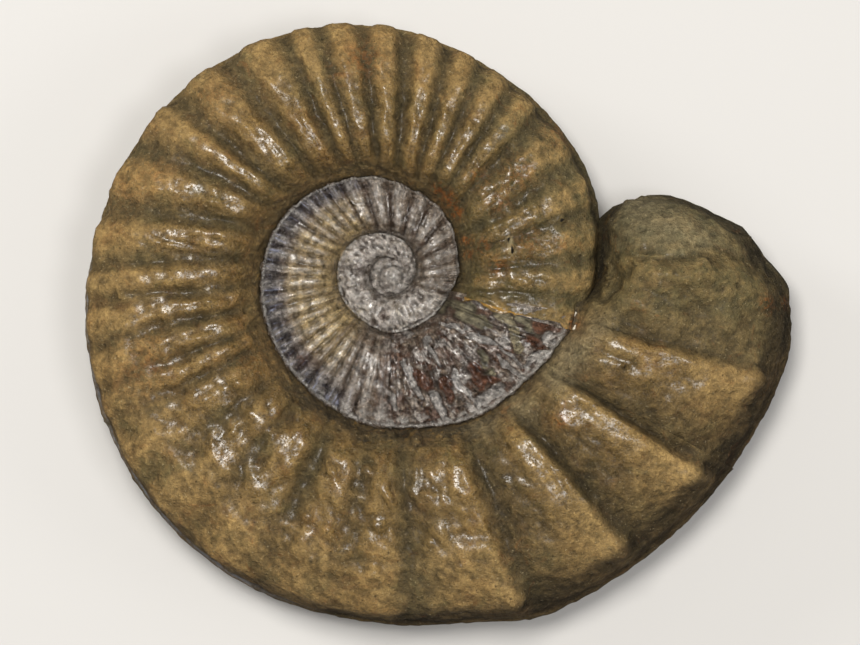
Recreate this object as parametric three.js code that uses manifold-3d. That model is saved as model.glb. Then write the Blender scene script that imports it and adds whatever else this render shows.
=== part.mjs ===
// Fossil ammonite lying on one flank: a ribbed, keeled shell coiled in a flat spiral, one solid body.
// Millimetres, +Z up, origin at the middle of the footprint on the resting plane.
// The angle along the coil grows with the shell. 0 points along +X one turn before the end.
import * as THREE from "three";
import Module from "manifold-3d";

const wasm = await Module();
wasm.setup();

// Driving dimensions. Every list holds [angle along the coil, value].

// distance of the keel from the coil centre, on the last turn and the end lump
const keelLine = [
  [-40, 66], [-20, 70.2], [0, 73.2], [30, 78.6], [50, 80], [75, 84.2], [90, 88.6], [120, 96],
  [150, 102.8], [180, 108.6], [210, 115], [240, 120.4], [265, 122.8], [282, 125.4], [293, 131],
  [308, 133], [325, 136.6], [340, 140.4], [350, 143], [357, 140.6], [360, 137.6], [363, 131.6],
  [366, 128.4], [370, 120.9], [374, 109.8], [377, 101], [378, 95],
];

// outer visible edge of each earlier turn, which is also the inner seam of the turn around it
const seamLine = [
  [-1340, 2], [-1180, 3], [-1040, 3.8], [-971, 7.3], [-931, 8.7], [-870, 8.2], [-821, 7],
  [-784, 6.2], [-747, 6.5], [-716, 7.7],
  [-682, 9.7], [-646, 13.4], [-610, 16.6], [-585, 18.7], [-560, 19.9], [-520, 19.3], [-486, 18.5],
  [-450, 19.4], [-420, 19], [-394, 19.7], [-378, 20.2], [-360, 22.7], [-340, 24.2], [-320, 27],
  [-300, 29.8], [-280, 32], [-260, 35.8], [-240, 38.8], [-220, 42.1], [-200, 44.8], [-180, 46.2],
  [-140, 48.3], [-120, 49.8], [-100, 52.1], [-80, 53.4], [-60, 56.8], [-40, 58.7], [-20, 63.2],
  [-9, 65.2], [-5, 69.2], [0, 72.6], [12, 76], [16, 80], [18, 86],
];

// half of the shell's breadth on the upper side
const upperBreadth = [
  [-1340, 12.5], [-980, 14], [-720, 15.6], [-540, 17.6], [-360, 20], [-180, 23], [-90, 24.6],
  [0, 26.6], [90, 29.2], [180, 31.6], [270, 33.9], [320, 35.4], [350, 35], [360, 33.8], [364, 32],
  [370, 26], [374, 20.5], [377, 14], [378, 9],
];

// and on the lower side, where the last turn was pressed level
const lowerBreadth = [
  [-1340, 12], [-980, 13.6], [-720, 15], [-540, 17.4], [-360, 20], [-180, 24], [-90, 26.4],
  [0, 29.4], [60, 31.6], [110, 32.6], [350, 32.6], [360, 32], [366, 29], [370, 25], [374, 19],
  [377, 13], [378, 8],
];

// where the edge between flank and belly lies, as a share of the way from seam to keel
const shoulderLine = [
  [-1340, 0.95], [-20, 0.95], [0, 0.93], [45, 0.945], [75, 0.982], [165, 0.98], [200, 0.955],
  [240, 0.93], [270, 0.91], [290, 0.875], [320, 0.845], [350, 0.85], [366, 0.86], [378, 0.85],
];

// how far a rib leans forwards between its inner and outer end, in degrees
const leanLine = [
  [-1340, 0], [-60, 0], [-20, 3], [20, 0], [140, 0], [158, 6], [172, 6], [184, 1], [240, 0], [378, 0],
];

// The pearly turns flatten towards the middle: heights of their inner seam, as a share of the turn
// inside it, and of their shoulder, as a share of their own half breadth.
const pearlSeamShares = [[-1340, 0.92], [-400, 0.92], [-300, 0.84], [-17, 0.82]];
const pearlShoulderHeights = [[-1340, 0.92], [-400, 0.92], [-300, 0.86], [-17, 0.84]];
const nucleusRadius = 12;
const nucleusHeight = 15.3;

// rib furrows: [angle, depth, place of the next crest as a share of the way to the next furrow]
const ribFurrows = [
  [-23, 0.8, 0.5], [-8, 0.9, 0.5], [5, 1.0, 0.5], [18, 1.1, 0.5], [31, 1.6, 0.5], [47.5, 2.4, 0.5],
  [58, 2.0, 0.45], [67.5, 2.3, 0.45], [76.5, 3.2, 0.45], [87.3, 3.6, 0.5], [97.2, 2.8, 0.5],
  [107, 1.9, 0.5], [114.5, 3.0, 0.45], [127.5, 3.4, 0.4], [141.2, 3.2, 0.4], [151, 2.0, 0.45],
  [163.5, 2.6, 0.5], [175.5, 1.8, 0.5], [184.5, 1.8, 0.5], [192.5, 2.3, 0.5], [201, 1.7, 0.5],
  [207.5, 2.1, 0.5], [220, 1.6, 0.5], [232, 1.7, 0.5], [247, 3.0, 0.5], [261, 1.8, 0.5],
  [273.5, 2.6, 0.7], [294.6, 4.0, 0.8], [312.5, 4.6, 0.84], [329.5, 5.2, 0.84], [346.5, 3.6, 0.6],
  [380, 1.5, 0.5],
];

// furrows of the pearly turn, widely spaced first and fine later
const pearlFurrows = [
  [-252, 1.6], [-267, 1.5], [-283, 1.5], [-296, 1.4], [-312, 1.3], [-328, 0.9], [-345, 0.9],
  [-362, 0.8], [-378, 0.7],
];
const finePearlSpacing = 7.4;
const finePearlDepth = 0.8;
const innerSpacing = 26;
const innermostSpacing = 40;
const innermostAngle = -745;
const innerDepth = 0.5;
const longSlope = 0.65;

// knobs at the shoulder of the last ribs: [angle, height]
const knobs = [[290.5, 4], [310, 5], [327.6, 5.5], [344.6, 6]];
const knobHalfAngle = 3.2;

// the brown outer layer stands over the pearly shell and ends at a broken line
const breakAngle = -17;
const layerStep = 0.9;

// worn rest on the lower ribs
const restDepth = 0.9;

// Half sections from seam to shoulder: [share of the way out, share of the half breadth].
// The first height stands for the seam and gives way to its own height.
const fullProfile = [
  [0, 0], [0.06, 0.42], [0.13, 0.76], [0.22, 0.95], [0.37, 1], [0.58, 0.96], [0.8, 0.87],
];
const underProfile = [[0, 0], [0.1, 0.64], [0.2, 0.94], [0.4, 1], [0.72, 0.91]];
const lightProfile = [[0, 0], [0.08, 0.55], [0.22, 0.9], [0.5, 1], [0.8, 0.9]];
const lightUnderProfile = [[0, 0], [0.16, 0.93], [0.55, 0.96]];
const shoulderHeight = 0.72;
const bellyHeight = 0.42;
const bellyShare = 0.72;
const keelHeight = 1.6;
const keelHalfWidth = 3.6;
const seamShare = 0.72;
const seamDrop = 1.2;
const pearlSeamDrop = 0.4;
const lumpStart = 351.5;
const lumpSpacing = 3.1;
const leastSpacing = 0.9;
const joinLength = 1.2;
const joinDepth = 0.6;
const finest = 0.16;

// Smooth value of a list of [place, value] at a place.
function smoothAt(list, place) {
  const last = list.length - 1;
  if (place <= list[0][0]) return list[0][1];
  if (place >= list[last][0]) return list[last][1];
  let i = 0;
  while (list[i + 1][0] < place) i += 1;
  const slope = (a, b) => (list[b][1] - list[a][1]) / (list[b][0] - list[a][0]);
  const width = list[i + 1][0] - list[i][0];
  const here = slope(i, i + 1);
  const before = i > 0 ? slope(i - 1, i) : here;
  const after = i + 1 < last ? slope(i + 1, i + 2) : here;
  const startSlope = before * here > 0 ? (2 * before * here) / (before + here) : 0;
  const endSlope = after * here > 0 ? (2 * after * here) / (after + here) : 0;
  const t = (place - list[i][0]) / width;
  const back = 1 - t;
  return (
    list[i][1] * back * back * (1 + 2 * t) +
    list[i + 1][1] * t * t * (1 + 2 * back) +
    width * t * back * (startSlope * back - endSlope * t)
  );
}

function easeBetween(low, high, x) {
  const t = Math.min(Math.max((x - low) / (high - low), 0), 1);
  return t * t * (3 - 2 * t);
}

// All furrows of the shell in the order of their angles.
function allFurrows() {
  const list = [...ribFurrows];
  for (let a = breakAngle - 8; a > -244; a -= finePearlSpacing) list.push([a, finePearlDepth, 0.5]);
  for (const [a, depth] of pearlFurrows) list.push([a, depth, 0.5]);
  for (let a = -396; a > innermostAngle; a -= innerSpacing) list.push([a, innerDepth, 0.5]);
  for (let a = innermostAngle; a > -1040; a -= innermostSpacing) list.push([a, innerDepth, 0.5]);
  return list.sort((f, g) => f[0] - g[0]);
}
const furrows = allFurrows();

// How far the surface lies under the rib crests at an angle.
function furrowDepth(angle) {
  const last = furrows.length - 1;
  if (angle <= furrows[0][0] || angle >= furrows[last][0]) return 0;
  let i = 0;
  while (furrows[i + 1][0] < angle) i += 1;
  const [start, depth, crest] = furrows[i];
  const share = (angle - start) / (furrows[i + 1][0] - start);
  const fromCrest = share < crest ? 1 - share / crest : (share - crest) / (1 - crest);
  const bottom = share < crest ? depth : furrows[i + 1][1];
  // a long slope stays high for most of its way, a short one is an even wave
  if (share < crest && crest > longSlope) return bottom * fromCrest ** 2.2;
  return bottom * Math.sin((fromCrest * Math.PI) / 2) ** 2;
}

function knobHeight(angle) {
  let height = 0;
  for (const [at, top] of knobs) height += top * Math.exp(-(((angle - at) / knobHalfAngle) ** 2));
  return height;
}

// Radii and heights of one section: the seam, the keel and half breadths above and below.
function sectionSizes(angle, brown) {
  const inner = smoothAt(seamLine, angle - 360);
  const shoulder = smoothAt(shoulderLine, angle);
  const outer = brown ? smoothAt(keelLine, angle) : inner + (smoothAt(seamLine, angle) - inner) / shoulder;
  const lift = brown ? layerStep : 0;
  const onBelly = easeBetween(350, 360, angle);
  const share = brown ? seamShare : smoothAt(pearlSeamShares, angle);
  const seamOf = (list) => {
    const height = share * smoothAt(list, angle - 360) - (brown ? seamDrop : pearlSeamDrop);
    return Math.max(height * (1 - onBelly) + 7 * onBelly, 1);
  };
  return {
    inner,
    outer,
    upper: smoothAt(upperBreadth, angle) - layerStep + lift,
    lower: smoothAt(lowerBreadth, angle) - layerStep + lift,
    upperSeam: seamOf(upperBreadth),
    lowerSeam: seamOf(lowerBreadth),
    shoulder,
    shoulderHeight: brown ? shoulderHeight : smoothAt(pearlShoulderHeights, angle),
    brown,
  };
}

// Points [share, radius, height] of one half section, from the seam to just inside the keel.
function halfSection(profile, sizes, angle, breadth, seam) {
  const { inner, outer, shoulder, brown } = sizes;
  const low = Math.min(seam, breadth * (brown ? 0.75 : 0.9));
  const points = profile.map(([u, w], i) => [u * shoulder, i === 0 ? low : low + (breadth - low) * w]);
  points.push([shoulder, breadth * sizes.shoulderHeight]);
  const keelFoot = 1 - keelHeight / (outer - inner);
  points.push([shoulder + (keelFoot - shoulder) * bellyShare, breadth * bellyHeight]);
  if (brown) points.push([keelFoot, keelHalfWidth]);
  const depth = furrowDepth(angle);
  const knob = knobHeight(angle);
  return points.map(([u, z]) => {
    const onRib = easeBetween(0, 0.14, u) * (1 - easeBetween(shoulder, 1, u)) * (0.8 + 0.2 * u);
    const atShoulder = Math.exp(-(((u - shoulder) / 0.06) ** 2));
    const outwards = easeBetween(0.55, shoulder, u);
    const relief = knob * atShoulder - depth * onRib;
    const r = inner + (outer - inner) * u + relief * outwards * 0.75;
    return [u, r, z + relief * (1 - 0.45 * outwards)];
  });
}

// Closed loop of [share, radius, height] at an angle.
function sectionLoop(angle, brown) {
  const sizes = sectionSizes(angle, brown);
  const upperShape = brown ? fullProfile : lightProfile;
  const lowerShape = brown ? underProfile : lightUnderProfile;
  const upper = halfSection(upperShape, sizes, angle, sizes.upper, sizes.upperSeam);
  const lower = halfSection(lowerShape, sizes, angle, sizes.lower, sizes.lowerSeam);
  const back = [0, sizes.inner - Math.min(4, sizes.inner * 0.35), 0];
  const keel = [1, sizes.outer, 0];
  const under = lower.map(([u, r, z]) => [u, r, -z]).reverse();
  return [back, ...upper, keel, ...under];
}

// Angles of the sections: each furrow and a few places on the rib after it.
function stationsBetween(from, to) {
  const list = [from];
  for (let i = 0; i < furrows.length - 1; i += 1) {
    const [start, , crest] = furrows[i];
    const width = furrows[i + 1][0] - start;
    const plain = start < 40 ? [0, 0.5] : [0, 0.36, 0.64];
    const even = start > 60 && start < 145 ? [0, 0.25, 0.5, 0.75] : plain;
    const shares = crest > longSlope ? [0, 0.2, 0.5, crest, (3 + 2 * crest) / 5] : even;
    for (const share of shares) list.push(start + width * share);
  }
  for (let a = lumpStart; a < 378; a += lumpSpacing) list.push(a);
  const inside = list.filter((a) => a >= from && a < to - 0.5).sort((a, b) => a - b);
  const kept = [];
  for (const a of inside) if (!kept.length || a - kept[kept.length - 1] > leastSpacing) kept.push(a);
  return [...kept, to];
}

// Closed mesh swept through the sections of a list of stations.
// With a tail it runs on a little, thinner, inside the stretch that follows it.
function sweptSolid(from, to, brown, tail) {
  const stations = stationsBetween(from, to);
  if (tail) stations.push(to + joinLength);
  const loops = stations.map((a) => sectionLoop(a, brown));
  const count = loops[0].length;
  const points = [];
  const faces = [];
  loops.forEach((loop, i) => {
    const lean = smoothAt(leanLine, stations[i]);
    const [, middleRadius] = loop[Math.round(count / 4)];
    const slim = stations[i] > to ? joinDepth : 0;
    for (const [u, r, z] of loop) {
      const turn = ((stations[i] + lean * (u - 0.5)) * Math.PI) / 180;
      const radius = r - Math.sign(r - middleRadius) * slim;
      points.push([radius * Math.cos(turn), radius * Math.sin(turn), z - Math.sign(z) * slim]);
    }
  });
  const apart = (a, b) => Math.hypot(...points[a].map((v, k) => v - points[b][k]));
  for (let i = 0; i < loops.length - 1; i += 1) {
    for (let j = 0; j < count; j += 1) {
      const a = i * count + j;
      const b = i * count + ((j + 1) % count);
      const c = b + count;
      const d = a + count;
      if (apart(a, c) < apart(b, d)) faces.push([a, b, c], [a, c, d]);
      else faces.push([a, b, d], [b, c, d]);
    }
  }
  const capAt = (start, flip) => {
    const middle = [0, 0, 0];
    for (let j = 0; j < count; j += 1) points[start + j].forEach((v, k) => (middle[k] += v / count));
    const centre = points.push(middle) - 1;
    for (let j = 0; j < count; j += 1) {
      const a = start + j;
      const b = start + ((j + 1) % count);
      faces.push(flip ? [centre, a, b] : [centre, b, a]);
    }
  };
  capAt(0, false);
  capAt((loops.length - 1) * count, true);
  return solidFrom(points, faces);
}

function solidFrom(points, faces) {
  const made = new wasm.Manifold(
    new wasm.Mesh({
      numProp: 3,
      vertProperties: new Float32Array(points.flat()),
      triVerts: new Uint32Array(faces.flat()),
    }),
  );
  return made;
}

// Round button in the middle of the coil, above and below.
function nucleusSolid() {
  const shape = new THREE.SphereGeometry(1, 16, 12);
  shape.rotateX(Math.PI / 2);
  shape.scale(nucleusRadius, nucleusRadius, nucleusHeight);
  return solidOfGeometry(shape);
}

function solidOfGeometry(geometry) {
  const seen = new Map();
  const points = [];
  const position = geometry.getAttribute("position");
  const corner = (i) => {
    const p = [position.getX(i), position.getY(i), position.getZ(i)].map((v) => Math.round(v * 1e4) / 1e4);
    const key = p.map((v) => (v === 0 ? 0 : v)).join();
    if (!seen.has(key)) seen.set(key, points.push(p) - 1);
    return seen.get(key);
  };
  const faces = [];
  const index = geometry.getIndex();
  for (let i = 0; i < index.count; i += 3) {
    const face = [0, 1, 2].map((k) => corner(index.getX(i + k)));
    if (new Set(face).size === 3) faces.push(face);
  }
  return solidFrom(points, faces);
}

// each stretch is joined to the next in the bottom of a furrow
const outerTurn = [sweptSolid(breakAngle, 329.5, true, true), sweptSolid(329.5, 378, true, false)];
const pearlTurn = [
  sweptSolid(-378, -91.6, false, true),
  sweptSolid(-91.6, breakAngle + 5, false, false),
];
const innerTurns = [
  sweptSolid(-745, -552, false, true),
  sweptSolid(-552, -378, false, true),
];
const parts = [...outerTurn, ...pearlTurn, ...innerTurns, nucleusSolid()];
let body = wasm.Manifold.union(parts);
const floor = -smoothAt(lowerBreadth, 300) + restDepth;
body = body.trimByPlane([0, 0, 1], floor).simplify(finest);
const box = body.boundingBox();
body = body.translate([-(box.min[0] + box.max[0]) / 2, -(box.min[1] + box.max[1]) / 2, -floor]);

const mesh = body.getMesh();
const geometry = new THREE.BufferGeometry();
geometry.setAttribute("position", new THREE.BufferAttribute(mesh.vertProperties, 3));
geometry.setIndex(new THREE.BufferAttribute(mesh.triVerts, 1));
geometry.computeVertexNormals();

const stone = new THREE.MeshStandardMaterial({ color: 0x7a6644, roughness: 0.55 });
const ammonite = new THREE.Mesh(geometry, stone);
ammonite.name = "ammonite";
const group = new THREE.Group();
group.add(ammonite);
export default group;
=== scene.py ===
import math

import bmesh
import bpy
import numpy as np
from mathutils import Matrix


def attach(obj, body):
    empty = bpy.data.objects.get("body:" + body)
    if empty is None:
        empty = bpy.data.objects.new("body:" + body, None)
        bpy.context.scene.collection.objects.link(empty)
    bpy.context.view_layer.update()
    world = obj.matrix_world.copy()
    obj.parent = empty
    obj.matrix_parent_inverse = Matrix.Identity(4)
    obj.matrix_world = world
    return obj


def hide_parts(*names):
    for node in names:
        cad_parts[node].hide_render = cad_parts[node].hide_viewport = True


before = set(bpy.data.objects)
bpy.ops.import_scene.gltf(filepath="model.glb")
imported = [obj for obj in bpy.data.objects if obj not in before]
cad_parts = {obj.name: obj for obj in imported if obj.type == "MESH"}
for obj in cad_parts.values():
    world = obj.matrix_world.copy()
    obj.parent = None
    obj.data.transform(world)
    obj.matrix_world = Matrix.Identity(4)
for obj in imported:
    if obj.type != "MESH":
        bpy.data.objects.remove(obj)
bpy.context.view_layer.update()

print("frame loaded")

# Fossil ammonite lying on one flank. Lists hold [angle along the coil in degrees, value], and
# lengths are millimetres until the mesh is made. Angle 0 points along +X one turn before the end.

# shape of the coil, which a user would change first
coil = {
    "centre": (-16.07, 16.91, 31.7),  # coil centre in the part's frame
    "keelLine": [
        [-40, 66], [-20, 70.2], [0, 73.2], [30, 78.6], [50, 80], [75, 84.2], [90, 88.6],
        [120, 96], [150, 102.8], [180, 108.6], [210, 115], [240, 120.4], [265, 122.8],
        [282, 125.4], [293, 131], [308, 133], [325, 136.6], [340, 140.4], [350, 143],
        [357, 140.6], [360, 137.6], [363, 131.6], [366, 128.4], [370, 120.9], [374, 109.8],
        [377, 101], [378, 95],
    ],
    "seamLine": [
        [-1340, 2], [-1180, 3], [-1040, 3.8], [-971, 7.3], [-931, 8.7], [-870, 8.2], [-821, 7],
        [-784, 6.2], [-747, 6.5], [-716, 7.7], [-682, 9.7], [-646, 13.4], [-610, 16.6],
        [-585, 18.7], [-560, 19.9], [-520, 19.3], [-486, 18.5], [-450, 19.4], [-420, 19],
        [-394, 19.7], [-378, 20.2], [-360, 22.7], [-340, 24.2], [-320, 27], [-300, 29.8],
        [-280, 32], [-260, 35.8], [-240, 38.8], [-220, 42.1], [-200, 44.8], [-180, 46.2],
        [-140, 48.3], [-120, 49.8], [-100, 52.1], [-80, 53.4], [-60, 56.8], [-40, 58.7],
        [-20, 63.2], [-9, 65.2], [-5, 69.2], [0, 72.6], [12, 76], [16, 80], [18, 86],
    ],
    "upperBreadth": [
        [-1340, 12.5], [-980, 14], [-720, 15.6], [-540, 17.6], [-360, 20], [-180, 23],
        [-90, 24.6], [0, 26.6], [90, 29.2], [180, 31.6], [270, 33.9], [320, 35.4], [350, 35],
        [360, 33.8], [364, 32], [370, 26], [374, 20.5], [377, 14], [378, 9],
    ],
    "lowerBreadth": [
        [-1340, 12], [-980, 13.6], [-720, 15], [-540, 17.4], [-360, 20], [-180, 24],
        [-90, 26.4], [0, 29.4], [60, 31.6], [110, 32.6], [350, 32.6], [360, 32], [366, 29],
        [370, 25], [374, 19], [377, 13], [378, 8],
    ],
    "shoulderLine": [
        [-1340, 0.95], [-20, 0.95], [0, 0.93], [45, 0.945], [75, 0.982], [165, 0.98],
        [200, 0.955], [240, 0.93], [270, 0.91], [290, 0.875], [320, 0.845], [350, 0.85],
        [366, 0.86], [378, 0.85],
    ],
    "leanLine": [
        [-1340, 0], [-60, 0], [-20, 3], [20, 0], [140, 0], [158, 6], [172, 6], [184, 1],
        [240, 0], [378, 0],
    ],
    "pearlSeamShares": [[-1340, 0.92], [-400, 0.92], [-300, 0.84], [-17, 0.82]],
    "pearlShoulderHeights": [[-1340, 0.92], [-400, 0.92], [-300, 0.86], [-17, 0.84]],
    "nucleusRadius": 12,
    "nucleusHeight": 15.3,
    "breakAngle": -17,
    "layerStep": 0.9,
    "keelHeight": 1.6,
    "keelHalfWidth": 3.6,
    "knobs": [[290.5, 4], [310, 5], [327.6, 5.5], [344.6, 6]],
    "knobHalfAngle": 3.2,
}

# angles where one stretch of the coil meets the next
turns = {
    "end": 378,
    "lumpJoin": 329.5,
    "patchJoin": -91.6,
    "coreEnd": -378,
    "innerJoin": -552,
    "start": -745,
}

# rib furrows: [angle, depth, place of the next crest as a share of the way to the next furrow],
# and for the pearly turns [angle, depth]
ribs = {
    "brown": [
        [-23, 0.8, 0.5], [-8, 0.9, 0.5], [5, 1.0, 0.5], [18, 1.1, 0.5], [31, 1.6, 0.5],
        [47.5, 2.4, 0.5], [58, 2.0, 0.45], [67.5, 2.3, 0.45], [76.5, 3.2, 0.45],
        [87.3, 3.6, 0.5], [97.2, 2.8, 0.5], [107, 1.9, 0.5], [114.5, 3.0, 0.45],
        [127.5, 3.4, 0.4], [141.2, 3.2, 0.4], [151, 2.0, 0.45], [163.5, 2.6, 0.5],
        [175.5, 1.8, 0.5], [184.5, 1.8, 0.5], [192.5, 2.3, 0.5], [201, 1.7, 0.5],
        [207.5, 2.1, 0.5], [220, 1.6, 0.5], [232, 1.7, 0.5], [247, 3.0, 0.5], [261, 1.8, 0.5],
        [273.5, 2.6, 0.7], [294.6, 4.0, 0.8], [312.5, 4.6, 0.84], [329.5, 5.2, 0.84],
        [346.5, 3.6, 0.6], [380, 1.5, 0.5],
    ],
    "pearl": [
        [-252, 1.6], [-267, 1.5], [-283, 1.5], [-296, 1.4], [-312, 1.3], [-328, 0.9],
        [-345, 0.9], [-362, 0.8], [-378, 0.7],
    ],
    # narrow cuts between the pearly ribs: [angle, share of the full depth]
    "cuts": [
        [-345, 0.4], [-328, 0.6], [-312, 0.9], [-296, 1.0], [-283, 1.0], [-267, 1.0], [-252, 0.9],
        [-239, 0.8], [-228, 0.5], [-215, 0.4], [-200, 0.5], [-186, 0.4], [-170, 0.5], [-156, 0.4],
        [-146, 0.5], [-132, 1.0], [-118, 0.5], [-107, 0.8], [-99, 0.6], [-92, 0.8],
    ],
    "cutDepth": 1.3,
    "cutHalfAngle": 2.3,
    "finePearlSpacing": 7.4,
    "finePearlDepth": 0.8,
    "innerSpacing": 26,
    "innerDepth": 0.5,
}

# regions along the coil, in degrees: begins, is full, begins to fade, has gone
regions = {
    "weathered": (178, 190, 260, 272),
    "roughest": (170, 200, 285, 300),
    "sawtooth": (285, 300, 338, 347),
    # wall beside the seam that is darkened as painted shade
    "shadedWall": (215, 235, 300, 325),
    "brokenLine": (222, 236, 300, 318),
    "keelRim": (165, 185, 240, 262),
    "gold": (-256, -236, -135, -112),
    "band": (-262, -236, -120, -100),
}

# how worn the surface is: heights of its unevenness in mm
wear = {
    "lumps": 0.6,
    "dents": 0.46,
    "grit": 0.26,
    "wrinkles": 0.42,
    "pocks": 0.9,
    "endLump": 0.9,
    "endLumpPits": 1.1,
    "pearlDents": 0.3,
    "pearlCrumbs": 0.35,
    "beads": 0.17,
    "folds": 0.16,
    "rim": 0.45,
    "coreDents": 0.75,
    "breakRaggedness": 1.3,
    # how far apart the same kinds lie, in mm
    "sizes": {
        "lumps": 15, "dents": 5.5, "grit": 2.2, "wrinkles": 4, "pocks": 4.2, "endLump": 17,
        "endLumpPits": 3.6, "pearlDents": 2.6, "pearlCrumbs": 1.6, "coreDents": 2.4,
    },
    "seed": 41,
}


# Smooth value of a list of [place, value] at an array of places.
def smoothAt(line, place):
    xs, ys = np.array(line, float).T
    place = np.clip(np.asarray(place, float), xs[0], xs[-1])
    i = np.clip(np.searchsorted(xs, place, side="left") - 1, 0, len(xs) - 2)
    width = np.diff(xs)
    slope = np.diff(ys) / width
    padded = np.concatenate([slope[:1], slope, slope[-1:]])
    product = padded[1:] * padded[:-1]
    total = padded[1:] + padded[:-1]
    tangent = np.where(product > 0, 2 * product / np.where(total == 0, 1, total), 0)
    tangent[0], tangent[-1] = slope[0], slope[-1]
    t = (place - xs[i]) / width[i]
    back = 1 - t
    return (
        ys[i] * back * back * (1 + 2 * t)
        + ys[i + 1] * t * t * (1 + 2 * back)
        + width[i] * t * back * (tangent[i] * back - tangent[i + 1] * t)
    )


def ease(low, high, x):
    t = np.clip((np.asarray(x, float) - low) / (high - low), 0, 1)
    return t * t * (3 - 2 * t)


# 1 between two angles or shares, easing in from first and out to last.
def within(x, first, full, fading, last):
    return ease(first, full, x) * (1 - ease(fading, last, x))


# Rounded ridge of height 1 along a line.
def ridge(x, line, halfWidth):
    return np.exp(-(((x - line) / halfWidth) ** 2))


# 1 in the middle of a mark and one half at its edge.
def halfAt(distance, edgeDistance):
    return 0.5 ** ((distance / edgeDistance) ** 2)


lattice = np.random.default_rng(wear["seed"]).random((40, 40, 40)) * 2 - 1


# Smooth repeatable unevenness between -1 and 1 at points of shape (..., 3).
def noiseAt(points, size, shift=0.0, octaves=1):
    total = 0
    weight = 1.0
    for octave in range(octaves):
        p = points / size * (2**octave) + shift * 7.31 + octave * 3.7
        p = p + 0.37 * p[..., [1, 2, 0]]  # turned off the axes
        low = np.floor(p).astype(int)
        f = p - low
        f = f * f * f * (f * (f * 6 - 15) + 10)
        value = 0
        for dx in (0, 1):
            for dy in (0, 1):
                for dz in (0, 1):
                    share = (
                        (f[..., 0] if dx else 1 - f[..., 0])
                        * (f[..., 1] if dy else 1 - f[..., 1])
                        * (f[..., 2] if dz else 1 - f[..., 2])
                    )
                    spot = lattice[
                        (low[..., 0] + dx) % 40, (low[..., 1] + dy) % 40, (low[..., 2] + dz) % 40
                    ]
                    value = value + share * spot
        total = total + value * weight
        weight *= 0.5
    return total


# All furrows of the shell in the order of their angles.
def furrowList():
    found = list(ribs["brown"])
    angle = coil["breakAngle"] - 8
    while angle > -244:
        found.append([angle, ribs["finePearlDepth"], 0.5])
        angle -= ribs["finePearlSpacing"]
    found += [[a, depth, 0.5] for a, depth in ribs["pearl"]]
    angle = -396
    while angle > turns["start"]:
        found.append([angle, ribs["innerDepth"], 0.5])
        angle -= ribs["innerSpacing"]
    return np.array(sorted(found))


furrows = furrowList()


# Depth of the surface under the rib crests, in mm, and the same as a share of the furrow.
def furrowDepth(angle):
    starts, depths, crests = furrows.T
    i = np.clip(np.searchsorted(starts, angle, side="left") - 1, 0, len(starts) - 2)
    share = np.clip((angle - starts[i]) / (starts[i + 1] - starts[i]), 0, 1)
    rising = np.clip(1 - share / crests[i], 0, 1)
    falling = np.clip((share - crests[i]) / (1 - crests[i]), 0, 1)
    longRise = rising**2.2
    rising = np.where(crests[i] > 0.65, longRise, ease(0.25, 0.97, rising))
    falling = ease(0.25, 0.97, falling)
    inside = (angle > starts[0]) & (angle < starts[-1])
    part = np.where(share < crests[i], rising, falling) * inside
    depth = np.where(share < crests[i], depths[i], depths[i + 1])
    return depth * part, part


def knobHeight(angle):
    height = 0
    for at, top in coil["knobs"]:
        height = height + top * ridge(angle, at, coil["knobHalfAngle"])
    return height


# Nearness to the narrow cuts of the pearly turn, from 0 to 1.
def cutField(angle, u):
    field = 0
    for at, share in ribs["cuts"]:
        field = field + share * ridge(angle, at, ribs["cutHalfAngle"])
    return field * ease(0.02, 0.1, u) * (1 - ease(0.66, 0.86, u))


profiles = {
    "full": [
        [0, 0], [0.06, 0.42], [0.13, 0.76], [0.22, 0.95], [0.37, 1], [0.58, 0.96], [0.8, 0.87],
    ],
    "under": [[0, 0], [0.1, 0.64], [0.2, 0.94], [0.4, 1], [0.72, 0.91]],
    "light": [[0, 0], [0.08, 0.55], [0.22, 0.9], [0.5, 1], [0.8, 0.9]],
    "lightUnder": [[0, 0], [0.16, 0.93], [0.55, 0.96]],
}


def sectionSizes(angle, brown):
    inner = smoothAt(coil["seamLine"], angle - 360)
    shoulder = smoothAt(coil["shoulderLine"], angle)
    if brown:
        outer = smoothAt(coil["keelLine"], angle)
    else:
        outer = inner + (smoothAt(coil["seamLine"], angle) - inner) / shoulder
    return inner, outer, shoulder


# Shares, radii and heights of count points from the seam to the keel, a row per station.
def halfSection(name, angle, breadthLine, brown, count):
    inner, outer, shoulder = sectionSizes(angle, brown)
    breadth = smoothAt(coil[breadthLine], angle) - (0 if brown else coil["layerStep"])
    onBelly = ease(350, 360, angle)
    if brown:
        share, drop, most, shoulderHeight = 0.72, 1.2, 0.75, 0.72
    else:
        share, drop, most = smoothAt(coil["pearlSeamShares"], angle), 0.4, 0.9
        shoulderHeight = smoothAt(coil["pearlShoulderHeights"], angle)
    seam = share * smoothAt(coil[breadthLine], angle - 360) - drop
    seam = np.maximum(seam * (1 - onBelly) + 7 * onBelly, 1)
    low = np.minimum(seam, breadth * most)
    keelFoot = 1 - coil["keelHeight"] / (outer - inner)
    us = [u * shoulder for u, w in profiles[name]]
    zs = [low + (breadth - low) * w for u, w in profiles[name]]
    us += [shoulder, shoulder + (keelFoot - shoulder) * 0.72]
    zs += [breadth * shoulderHeight, breadth * 0.42]
    if brown:
        us.append(keelFoot)
        zs.append(np.full_like(angle, coil["keelHalfWidth"]))
    us.append(np.ones_like(angle))
    zs.append(np.zeros_like(angle))
    u = np.stack(np.broadcast_arrays(*us), 1)
    z = np.stack(zs, 1)
    height = (outer - inner)[:, None]
    run = np.hypot(np.diff(u, axis=1) * height, np.diff(z, axis=1)).mean(0)
    knots = np.concatenate([[0], np.cumsum(run)])
    places = np.linspace(0, knots[-1], count)
    u = throughPoints(knots, u, places)
    z = throughPoints(knots, z, places)
    return u, inner[:, None] + height * u, z, shoulder[:, None]


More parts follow.
